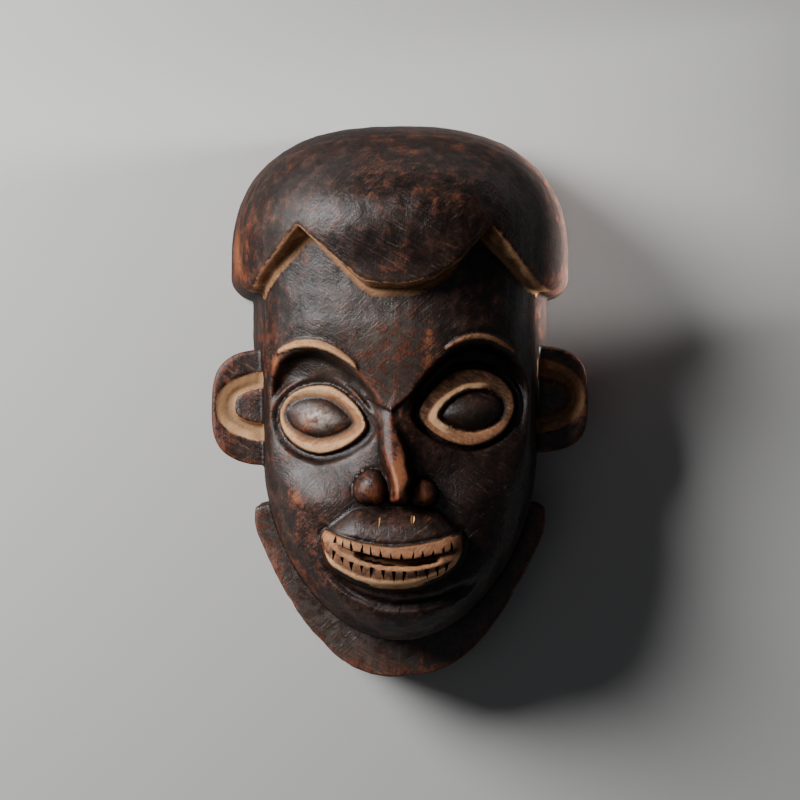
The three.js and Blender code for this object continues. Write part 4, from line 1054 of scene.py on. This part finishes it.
# %% [markdown]
# On the mouth the lower lip is the freshest. The clay thins out in the gap and is dirty beside the lower
# teeth and on the rim under the lip. In the ears it fills the groove round the boss. The right half of the
# band and the right ear are painted darker as shade, and the bevel on the lower teeth gets a painted
# highlight.
# %% Clay on mouth and ears
sunk = face_height(px, py) - pz
above_rim = py - band_bottom(px)
above_teeth = py - lower_teeth(px)
on_lip = smooth(above_rim, 1.6, 2.8) * (1.0 - smooth(above_rim, 8.2, 9.6))
tooth_side = smooth(-above_teeth, -1.0, 2.0) * smooth(above_rim, 7.4, 9.0)
teeth_bevel_highlight = smooth(above_teeth, -1.0, 0.0) * (1.0 - smooth(above_teeth, 3.0, 4.0))
teeth_bevel_highlight = teeth_bevel_highlight * (1.0 - smooth(np.abs(px - MOUTH_MIDDLE_X), 30.0, 40.0))
# Painted shade on the band's right half, and a painted highlight on the upward bevel of the lower teeth.
band_tone = mix(0.42, 0.6, left_half) + mix(0.68, 0.45, left_half) * on_lip - 0.3 * (above_rim < 1.8)
band_tone = band_tone - 0.3 * tooth_side + 0.12 * teeth_bevel_highlight
paint(front, np.minimum(0.2 - band_distance(px, py), (1.9 - sunk) * 3.0), band_tone)
# The right ear's clay is painted darker as shade.
for ear, fresh_and_shade in zip(EARS, (1.0, 0.7)):
    beside = (pz > 78.0) & (pz < 95.0) & (ear["side"] * px > 96.0)
    paint(beside, 0.4 - ear_groove(ear, px, py), fresh_and_shade)
print("with mouth and ears", int((painted > 0.0).sum()))

# %% [markdown]
# The cut below the hair is painted down its wall and a little way out at its foot. The wall lies within two
# millimetres of the hairline and under the cap's shell. The foot runs out on the right. The wall's clay has
# painted light and shade: lighter on the flanks that face the key light, darker on those turned away, and
# the foot is painted darker on the right half.
# %% Clay on the hairline
shell_at = sampled(cap_shell, at)
hair_at = sampled(hair_line, at)
in_notch = smooth(np.abs(px - HAIRLINE_SHIFT_X), NOTCH_X - 3.0, NOTCH_X + 1.0)
# Painted light and shade on the wall's clay, by the way each flank faces the key light.
wall_tone = np.where(px < 0.0, mix(0.95, 0.85, in_notch), mix(0.8, 1.0, in_notch))
wall = np.minimum(2.0 - np.abs(hair_at), -shell_at - 1.0)
paint((pz > 95.0) & (shell_at > -27.0), wall, wall_tone)
foot = np.minimum(3.8 - hair_at - 3.8 * smooth(px, 36.0, 52.0), hair_at - 0.2)
# Painted shade on the foot's right half.
paint((pz > 95.0) & (shell_at < -5.0) & (shell_at > -40.0), foot, mix(0.6, 0.85, left_half))
write_attribute(mask, "kaolin_mm", np.clip(painted, NO_CLAY, -NO_CLAY))
write_attribute(mask, "clay_tone", tone)
print("clay on", int((painted > 0.0).sum()), "points in all")

# %% [markdown]
# Hands and knocks have rubbed the smoke off some places down to red wood: the end of the nose, the wings,
# the brow's middle, the lobes of the hair and the rims of the ears. The right side of the face below the
# brows is given painted shade, as a negative value. Each place is its x and y, its width and height in
# millimetres, and how much is rubbed off.
# %% Where the wood is rubbed, and painted shade on the right
RUBBED = dict(nose_end=(-1.0, -52.0, 10.0, 26.0, 1.0), left_wing=(-17.0, -71.0, 7.0, 9.0, 1.0),
              right_wing=(17.0, -69.0, 8.0, 11.0, 1.0), brow_middle=(-4.0, 32.0, 26.0, 46.0, 0.45),
              point_right=(21.0, 38.0, 8.0, 28.0, 1.0), point_left=(-20.0, 18.0, 9.0, 9.0, 0.6),
              left_lobe=(-120.0, 112.0, 14.0, 34.0, 0.85), right_lobe=(110.0, 96.0, 12.0, 14.0, 0.6),
              crown=(10.0, 172.0, 55.0, 30.0, 0.3), left_temple=(-96.0, 40.0, 8.0, 34.0, 0.7),
              ear_rim_left=(-134.0, -10.0, 8.0, 36.0, 0.35), ear_rim_right=(134.0, 2.0, 8.0, 34.0, 0.4),
              jaw_left=(-66.0, -120.0, 16.0, 26.0, 0.5), collar_left=(-96.0, -120.0, 12.0, 40.0, 0.6),
              collar_low=(-10.0, -197.0, 80.0, 18.0, 0.55), left_ball=(-69.0, -16.0, 9.0, 9.0, 0.9),
              left_ball_end=(-44.0, -20.0, 8.0, 7.0, 0.75), left_brow_tail=(-92.0, 30.0, 6.0, 14.0, 0.9),
              left_cheek=(-76.0, -70.0, 9.0, 11.0, 0.8), right_ball=(61.0, 2.0, 12.0, 7.0, 0.75))
RUBBED_ABOVE_Z, PAINTED_SHADE_ABOVE_Z, MOST_PAINTED_SHADE = 60.0, 90.0, 0.4
rubbed_and_shade = np.zeros(len(at))
for x, y, wide, tall, much in RUBBED.values():
    place = bell(np.hypot((px - x) / wide, (py - y) / tall), 1.0) * (pz > RUBBED_ABOVE_Z)
    rubbed_and_shade = np.maximum(rubbed_and_shade, much * place)
# Painted shade: the right side of the face, away from the key light, is darkened in its colour.
painted_shade_right = smooth(px, 8.0, 45.0) * smooth(60.0 - py, 0.0, 20.0) * (pz > PAINTED_SHADE_ABOVE_Z)
rubbed_and_shade = rubbed_and_shade - MOST_PAINTED_SHADE * painted_shade_right
write_attribute(mask, "rubbed_and_shade", rubbed_and_shade)
print("rubbed places", len(RUBBED))

# %% [markdown]
# A pale coat lies on the left eyeball, faintly on the forehead, and along the front of the collar, heavier on
# the left. It is partly dust and partly painted light: a painted highlight on the middle of the left eyeball,
# a painted sheen on the forehead, and painted light on the lit left of the collar.
# %% Dust, painted highlight and sheen
BALL_DUST_AND_HIGHLIGHT, FOREHEAD_DUST_AND_SHEEN, COLLAR_DUST_AND_LIGHT = (1.0, 0.08), 0.15, (0.04, 0.12)
dust_and_sheen = np.zeros(len(at))
for eye, much in zip(EYES, BALL_DUST_AND_HIGHLIGHT):
    dust_and_sheen = np.maximum(dust_and_sheen, much * (1.0 - smooth(almond(eye, "ball", px, py), 0.15, 0.85)) * front)
forehead = bell(np.hypot((px + 16.0) / 34.0, (py - 42.0) / 38.0), 1.0)
dust_and_sheen = np.maximum(dust_and_sheen, FOREHEAD_DUST_AND_SHEEN * forehead * front)
on_collar = (pz > 66.0) & (pz < 84.0) & (py < -80.0) & (plan_radius(px, py) > 1.02)
dust_and_sheen = np.maximum(dust_and_sheen, mix(*COLLAR_DUST_AND_LIGHT, left_half) * on_collar)
write_attribute(mask, "dust_and_sheen", dust_and_sheen)
print("dust on", int((dust_and_sheen > 0.05).sum()), "points")

# %% [markdown]
# ## Material
# The wood is a dense hardwood, adzed and knife-cut, dark with smoke and handling, and rubbed back to red on
# its edges. White clay fills the cuts. One material does all of it, because the finishes run into each other.
# It reads where they lie from the attributes written above.
# %% Carved wood: smoked and rubbed hardwood with white clay in the cuts
SOFT = {"interpolation_type": "SMOOTHSTEP"}
RGBA, FLOAT = {"data_type": "RGBA"}, {"data_type": "FLOAT"}
ADD, TIMES = {"operation": "ADD"}, {"operation": "MULTIPLY"}
TIMES_ADD, ABOVE = {"operation": "MULTIPLY_ADD"}, {"operation": "GREATER_THAN"}
RANGE, MATH, MIX, NOISE = "ShaderNodeMapRange", "ShaderNodeMath", "ShaderNodeMix", "ShaderNodeTexNoise"
wood.use_nodes = True
tree = wood.node_tree
shader = tree.nodes["Principled BSDF"]
names = ("edge", "cavity", "kaolin_mm", "clay_tone", "rubbed_and_shade", "dust_and_sheen", "cut")
edge, cavity, kaolin, clay_tone, rubbed_and_shade_at, dust_and_sheen_at, cut_kind = (
    add(tree, "ShaderNodeAttribute", {"attribute_name": name}, {}, "Fac") for name in names)
print("attributes read", len(names))

# %% [markdown]
# Patterns in real millimetres: blotches of 30 mm, patches of 7 mm, specks of 1.5 mm and grain along the
# block. The strokes of blade and rubbing turn with the place, so that they run every way over the mask.
# %% Patterns
TO_MM = (1000.0, 1000.0, 1000.0)
BLOTCH, PATCH, SPECK, GRAIN, SWAY, STROKE = 30.0, 7.0, 1.5, 1.3, 40.0, 1.4
GRAIN_STRETCH, STROKE_STRETCH, STROKE_TURNS = (1.0, 0.05, 1.0), (0.09, 1.0, 0.5), (0.5, -0.75)
ABOUT_Z = {"rotation_type": "Z_AXIS"}
space = add(tree, "ShaderNodeTexCoord", {}, {}, "Object")
space = add(tree, "ShaderNodeMapping", {}, {"Vector": space, "Scale": TO_MM})
along = add(tree, "ShaderNodeMapping", {}, {"Vector": space, "Scale": GRAIN_STRETCH})
broad = add(tree, NOISE, {}, {"Vector": space, "Scale": 1 / BLOTCH, "Detail": 5.0, "Roughness": 0.6})
patch = {"Vector": space, "Scale": 1 / PATCH, "Detail": 7.0, "Roughness": 0.72, "Distortion": 0.5}
patch = add(tree, NOISE, {}, patch)
speck = add(tree, NOISE, {}, {"Vector": space, "Scale": 1 / SPECK, "Detail": 3.0, "Roughness": 0.6})
grain = add(tree, NOISE, {}, {"Vector": along, "Scale": 1 / GRAIN, "Detail": 4.0, "Roughness": 0.6})
sway = add(tree, NOISE, {}, {"Vector": space, "Scale": 1 / SWAY, "Detail": 2.0})
ways = []
for turn in STROKE_TURNS:
    turned = add(tree, "ShaderNodeVectorRotate", ABOUT_Z, {"Vector": space, "Angle": turn})
    turned = add(tree, "ShaderNodeMapping", {}, {"Vector": turned, "Scale": STROKE_STRETCH})
    strokes = {"Vector": turned, "Scale": 1 / STROKE, "Detail": 5.0, "Roughness": 0.7, "Distortion": 0.3}
    ways.append(add(tree, NOISE, {}, strokes))
side = add(tree, RANGE, SOFT, {"Value": sway, 1: 0.42, 2: 0.58})
stroke = add(tree, MIX, FLOAT, {0: side, 2: ways[0], 3: ways[1]})
scratch = add(tree, RANGE, SOFT, {"Value": stroke, 1: 0.61, 2: 0.68})
print("patterns in place")

# %% [markdown]
# Smoke has darkened the bare wood to brown black, a little greyer along the strokes. Where it is rubbed off,
# the wood is red brown, with the darker and lighter lines of its grain.
# %% Smoke and red wood
dark = add(tree, RANGE, SOFT, {"Value": patch, 1: 0.35, 2: 0.7})
patina = add(tree, MIX, RGBA, {0: dark, 6: linear("#211712"), 7: linear("#4a3229")}, 2)
glow = add(tree, RANGE, SOFT, {"Value": stroke, 1: 0.46, 2: 0.74, 4: 0.5})
patina = add(tree, MIX, RGBA, {0: glow, 6: patina, 7: linear("#55403a")}, 2)
lines = add(tree, RANGE, SOFT, {"Value": grain, 1: 0.3, 2: 0.7})
red = add(tree, MIX, RGBA, {0: lines, 6: linear("#482216"), 7: linear("#87472b")}, 2)
polished = add(tree, RANGE, SOFT, {"Value": rubbed_and_shade_at, 1: 0.55, 2: 1.0, 4: 0.85})
red = add(tree, MIX, RGBA, {0: polished, 6: red, 7: linear("#b06d47")}, 2)
print("two woods in place")

# %% [markdown]
# Wear adds up from the sharp edges, the rubbed places, and stray blotches, patches, strokes and specks, since
# no single pattern wears a carving. Where the sum is high, red wood shows through the smoke.
# %% Wear
wear = add(tree, RANGE, SOFT, {"Value": edge, 1: 0.25, 2: 1.0, 4: 0.3})
for pattern, settings, low, high, least, most in (
        (broad, SOFT, 0.4, 0.7, 0.0, 0.3), (patch, SOFT, 0.3, 0.7, -0.26, 0.36),
        (stroke, SOFT, 0.25, 0.75, -0.24, 0.32), (speck, {}, 0.3, 0.7, -0.12, 0.16)):
    share = add(tree, RANGE, settings, {"Value": pattern, 1: low, 2: high, 3: least, 4: most})
    wear = add(tree, MATH, ADD, {0: wear, 1: share})
wear = add(tree, MATH, TIMES_ADD, {0: rubbed_and_shade_at, 1: 0.62, 2: wear})
worn = add(tree, RANGE, SOFT, {"Value": wear, 1: 0.35, 2: 0.71, 4: 0.84})
bare = add(tree, MIX, RGBA, {0: worn, 6: patina, 7: red}, 2)
print("wear in place")

# %% [markdown]
# Four thin coats lie over the bare wood, one after the other: soot in the hollows, painted shade on the right
# side of the face, dry scratches, and pale dust that also carries a painted highlight and sheen.
# %% Soot, painted shade, scratches and dust with painted sheen
sooty = add(tree, RANGE, SOFT, {"Value": cavity, 1: 0.1, 2: 0.8, 4: 0.65})
# Painted shade on the right side of the face, where the rubbed value is negative.
painted_shade_coat = add(tree, RANGE, SOFT, {"Value": rubbed_and_shade_at, 1: 0.0, 2: -0.4, 4: 0.55})
scratched = add(tree, MATH, TIMES, {0: scratch, 1: 0.3})
# Pale coat: partly dust, partly a painted highlight and sheen.
dust_and_sheen_share = add(tree, RANGE, SOFT, {"Value": patch, 1: 0.38, 2: 0.62, 3: 1.0, 4: 0.05})
dust_and_sheen_share = add(tree, MATH, TIMES, {0: dust_and_sheen_share, 1: dust_and_sheen_at})
for share, coat in ((sooty, "#0c0706"), (painted_shade_coat, "#0f0907"), (scratched, "#8d7566"), (dust_and_sheen_share, "#c2b0a3")):
    bare = add(tree, MIX, RGBA, {0: share, 6: bare, 7: linear(coat)}, 2)
print("wood colour in place")

# %% [markdown]
# The clay's border frays with the patches and specks of the wood, as clay rubbed into a rough cut does.
# %% Where the clay ends
border = kaolin
for pattern, least, most in ((patch, -1.3, 0.9), (speck, -0.6, 0.6)):
    fray = add(tree, RANGE, {}, {"Value": pattern, 1: 0.2, 2: 0.8, 3: least, 4: most})
    border = add(tree, MATH, ADD, {0: border, 1: fray})
clay = add(tree, RANGE, SOFT, {"Value": border, 1: -0.5, 2: 0.6})
print("border of the clay in place")

# %% [markdown]
# The clay is uneven: brown where it is thin, handled or sheltered, pale where it is thick, and its tone also
# carries the painted light and shade laid on above. The fine cuts between the teeth are dark inside, and the
# two nicks in the lip are packed with clean clay.
# %% Clay colour
fresh_and_shade = clay_tone
for pattern, settings, low, high, least, most in (
        (patch, {}, 0.25, 0.75, 0.2, -0.24), (stroke, {}, 0.3, 0.75, 0.1, -0.22),
        (border, SOFT, 0.2, 1.8, -0.3, 0.0)):
    share = add(tree, RANGE, settings, {"Value": pattern, 1: low, 2: high, 3: least, 4: most})
    fresh_and_shade = add(tree, MATH, ADD, {0: fresh_and_shade, 1: share})
low = add(tree, RANGE, SOFT, {"Value": fresh_and_shade, 1: 0.0, 2: 0.5})
high = add(tree, RANGE, SOFT, {"Value": fresh_and_shade, 1: 0.42, 2: 0.98})
deep = add(tree, RANGE, SOFT, {"Value": cavity, 1: 0.15, 2: 0.9, 4: 0.55})
clay_colour = linear("#3e271a")
for share, coat in ((low, "#a4704e"), (high, "#dfae80"), (deep, "#33200f")):
    clay_colour = add(tree, MIX, RGBA, {0: share, 6: clay_colour, 7: linear(coat)}, 2)
is_cut = add(tree, MATH, ABOVE, {0: cut_kind, 1: 0.5})
is_filled = add(tree, MATH, ABOVE, {0: cut_kind, 1: 1.5})
colour = bare
for share, coat in ((clay, clay_colour), (is_cut, linear("#1c100a")), (is_filled, linear("#dcb98f"))):
    colour = add(tree, MIX, RGBA, {0: share, 6: colour, 7: coat}, 2)
print("clay colour in place")

# %% [markdown]
# Smoked wood shines softly from oil and hands, worn wood less, clay not at all. The steep sides, which no
# hand polishes, are dull. A shallow bump of less than a millimetre gives the finest scratches and pores.
# %% Shine and relief
RELIEF_DEPTH, RELIEF_STRENGTH, CLAY_ROUGHNESS, WOOD_IOR = 0.0007, 0.6, 0.85, 1.5
shine = add(tree, RANGE, {}, {"Value": stroke, 1: 0.3, 2: 0.7, 3: 0.25, 4: 0.43})
duller = add(tree, MATH, TIMES_ADD, {0: worn, 1: 0.18, 2: shine})
facing = add(tree, "ShaderNodeTexCoord", {}, {}, "Normal")
facing = add(tree, "ShaderNodeSeparateXYZ", {}, {"Vector": facing}, "Z")
unhandled = add(tree, RANGE, SOFT, {"Value": facing, 1: 0.8, 2: 0.4, 4: 0.3})
duller = add(tree, MATH, ADD, {0: duller, 1: unhandled})
gloss = add(tree, RANGE, SOFT, {"Value": facing, 1: 0.8, 2: 0.4, 3: 0.5, 4: 0.12})
rough = add(tree, MIX, FLOAT, {0: clay, 2: duller, 3: CLAY_ROUGHNESS})
relief = add(tree, MATH, TIMES_ADD, {0: patch, 1: 1.6, 2: stroke})
relief = add(tree, MATH, TIMES_ADD, {0: grain, 1: 0.4, 2: relief})
relief = add(tree, MATH, TIMES_ADD, {0: scratch, 1: -0.35, 2: relief})
bump = {"Height": relief, "Distance": RELIEF_DEPTH, "Strength": RELIEF_STRENGTH}
bump = add(tree, "ShaderNodeBump", {}, bump)
for socket, value in (("Base Color", colour), ("Roughness", rough), ("Specular IOR Level", gloss),
                      ("Normal", bump)):
    tree.links.new(value, shader.inputs[socket])
shader.inputs["IOR"].default_value = WOOD_IOR
print("material", wood.name, len(tree.nodes), "nodes")

# %% [markdown]
# The fine surface takes the place of the solid in the frame. Faces are shaded smooth, but where two meet at
# more than the sharp angle, as in the knife cuts, the corner between them stays crisp.
# %% Ride with the frame
SHARP_ANGLE = math.radians(60.0)
mask.data.set_sharp_from_angle(angle=SHARP_ANGLE)
mask.data.materials.clear()
mask.data.materials.append(wood)
for polygon in mask.data.polygons:
    polygon.use_smooth = True
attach(mask, "root")
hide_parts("mask")
print(mask.name, len(mask.data.polygons), "faces on the root body")

# %% [markdown]
# ## The stage
# The floor is pale paper, half a millimetre under the mask so that the rear rim doesn't flicker with it. It
# is wide enough to fill the picture, and being dull it throws a little soft light back.
# %% Floor
FLOOR_HALF, FLOOR_Z = 4.0, -0.0005
corners = [(x * FLOOR_HALF, y * FLOOR_HALF, FLOOR_Z) for x, y in ((-1, -1), (1, -1), (1, 1), (-1, 1))]
floor_mesh = bpy.data.meshes.new("floor")
floor_mesh.from_pydata(corners, [], [(0, 1, 2, 3)])
floor = bpy.data.objects.new("floor", floor_mesh)
bpy.context.scene.collection.objects.link(floor)
floor_material = bpy.data.materials.new("pale_paper_floor")
floor_material.use_nodes = True
paper = floor_material.node_tree.nodes["Principled BSDF"]
paper.inputs["Base Color"].default_value = linear("#c9c8c6")
paper.inputs["Roughness"].default_value = 0.9
floor.data.materials.append(floor_material)
floor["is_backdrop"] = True
print("floor", 2.0 * FLOOR_HALF, "m wide")

# %% [markdown]
# The key light stands high on the left, as in the photograph, so that the right half falls into shade. A
# weak, broad light from the front opens that shade a little. A low strip on the right, with a narrow beam,
# draws the bright line along that side. The surroundings add a faint cool light.
# %% Lights
FACE_MIDDLE = (0.0, 0.0, 0.1)
SKY, SKY_STRENGTH = (0.46, 0.49, 0.55, 1.0), 0.06


def area_light(name, location, target, power, **settings):
    data = bpy.data.lights.new(name, "AREA")
    data.energy = power
    for key, value in settings.items():
        setattr(data, key, value)
    lamp = bpy.data.objects.new(name, data)
    lamp.location = location
    lamp.rotation_euler = (Vector(target) - Vector(location)).to_track_quat("-Z", "Y").to_euler()
    bpy.context.scene.collection.objects.link(lamp)
    print(name, power, "W")


area_light("key", (-1.2, 0.66, 1.0), FACE_MIDDLE, 48.0, shape="DISK", size=0.85)
area_light("front_fill", (-0.35, -0.25, 1.9), FACE_MIDDLE, 0.9, shape="DISK", size=1.0)
area_light("side_strip", (0.46, 0.2, 0.05), (0.0, 0.16, 0.05), 0.85, shape="RECTANGLE",
           size=0.24, size_y=0.07, spread=math.radians(18.0))
world = bpy.data.worlds.new("studio")
bpy.context.scene.world = world
world.use_nodes = True
sky = world.node_tree.nodes["Background"]
sky.inputs["Color"].default_value = SKY
sky.inputs["Strength"].default_value = SKY_STRENGTH

# %% [markdown]
# Last, the box of what is seen is measured and printed.
# %% Finish
low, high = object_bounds()
print("visual box", tuple(low), tuple(high))
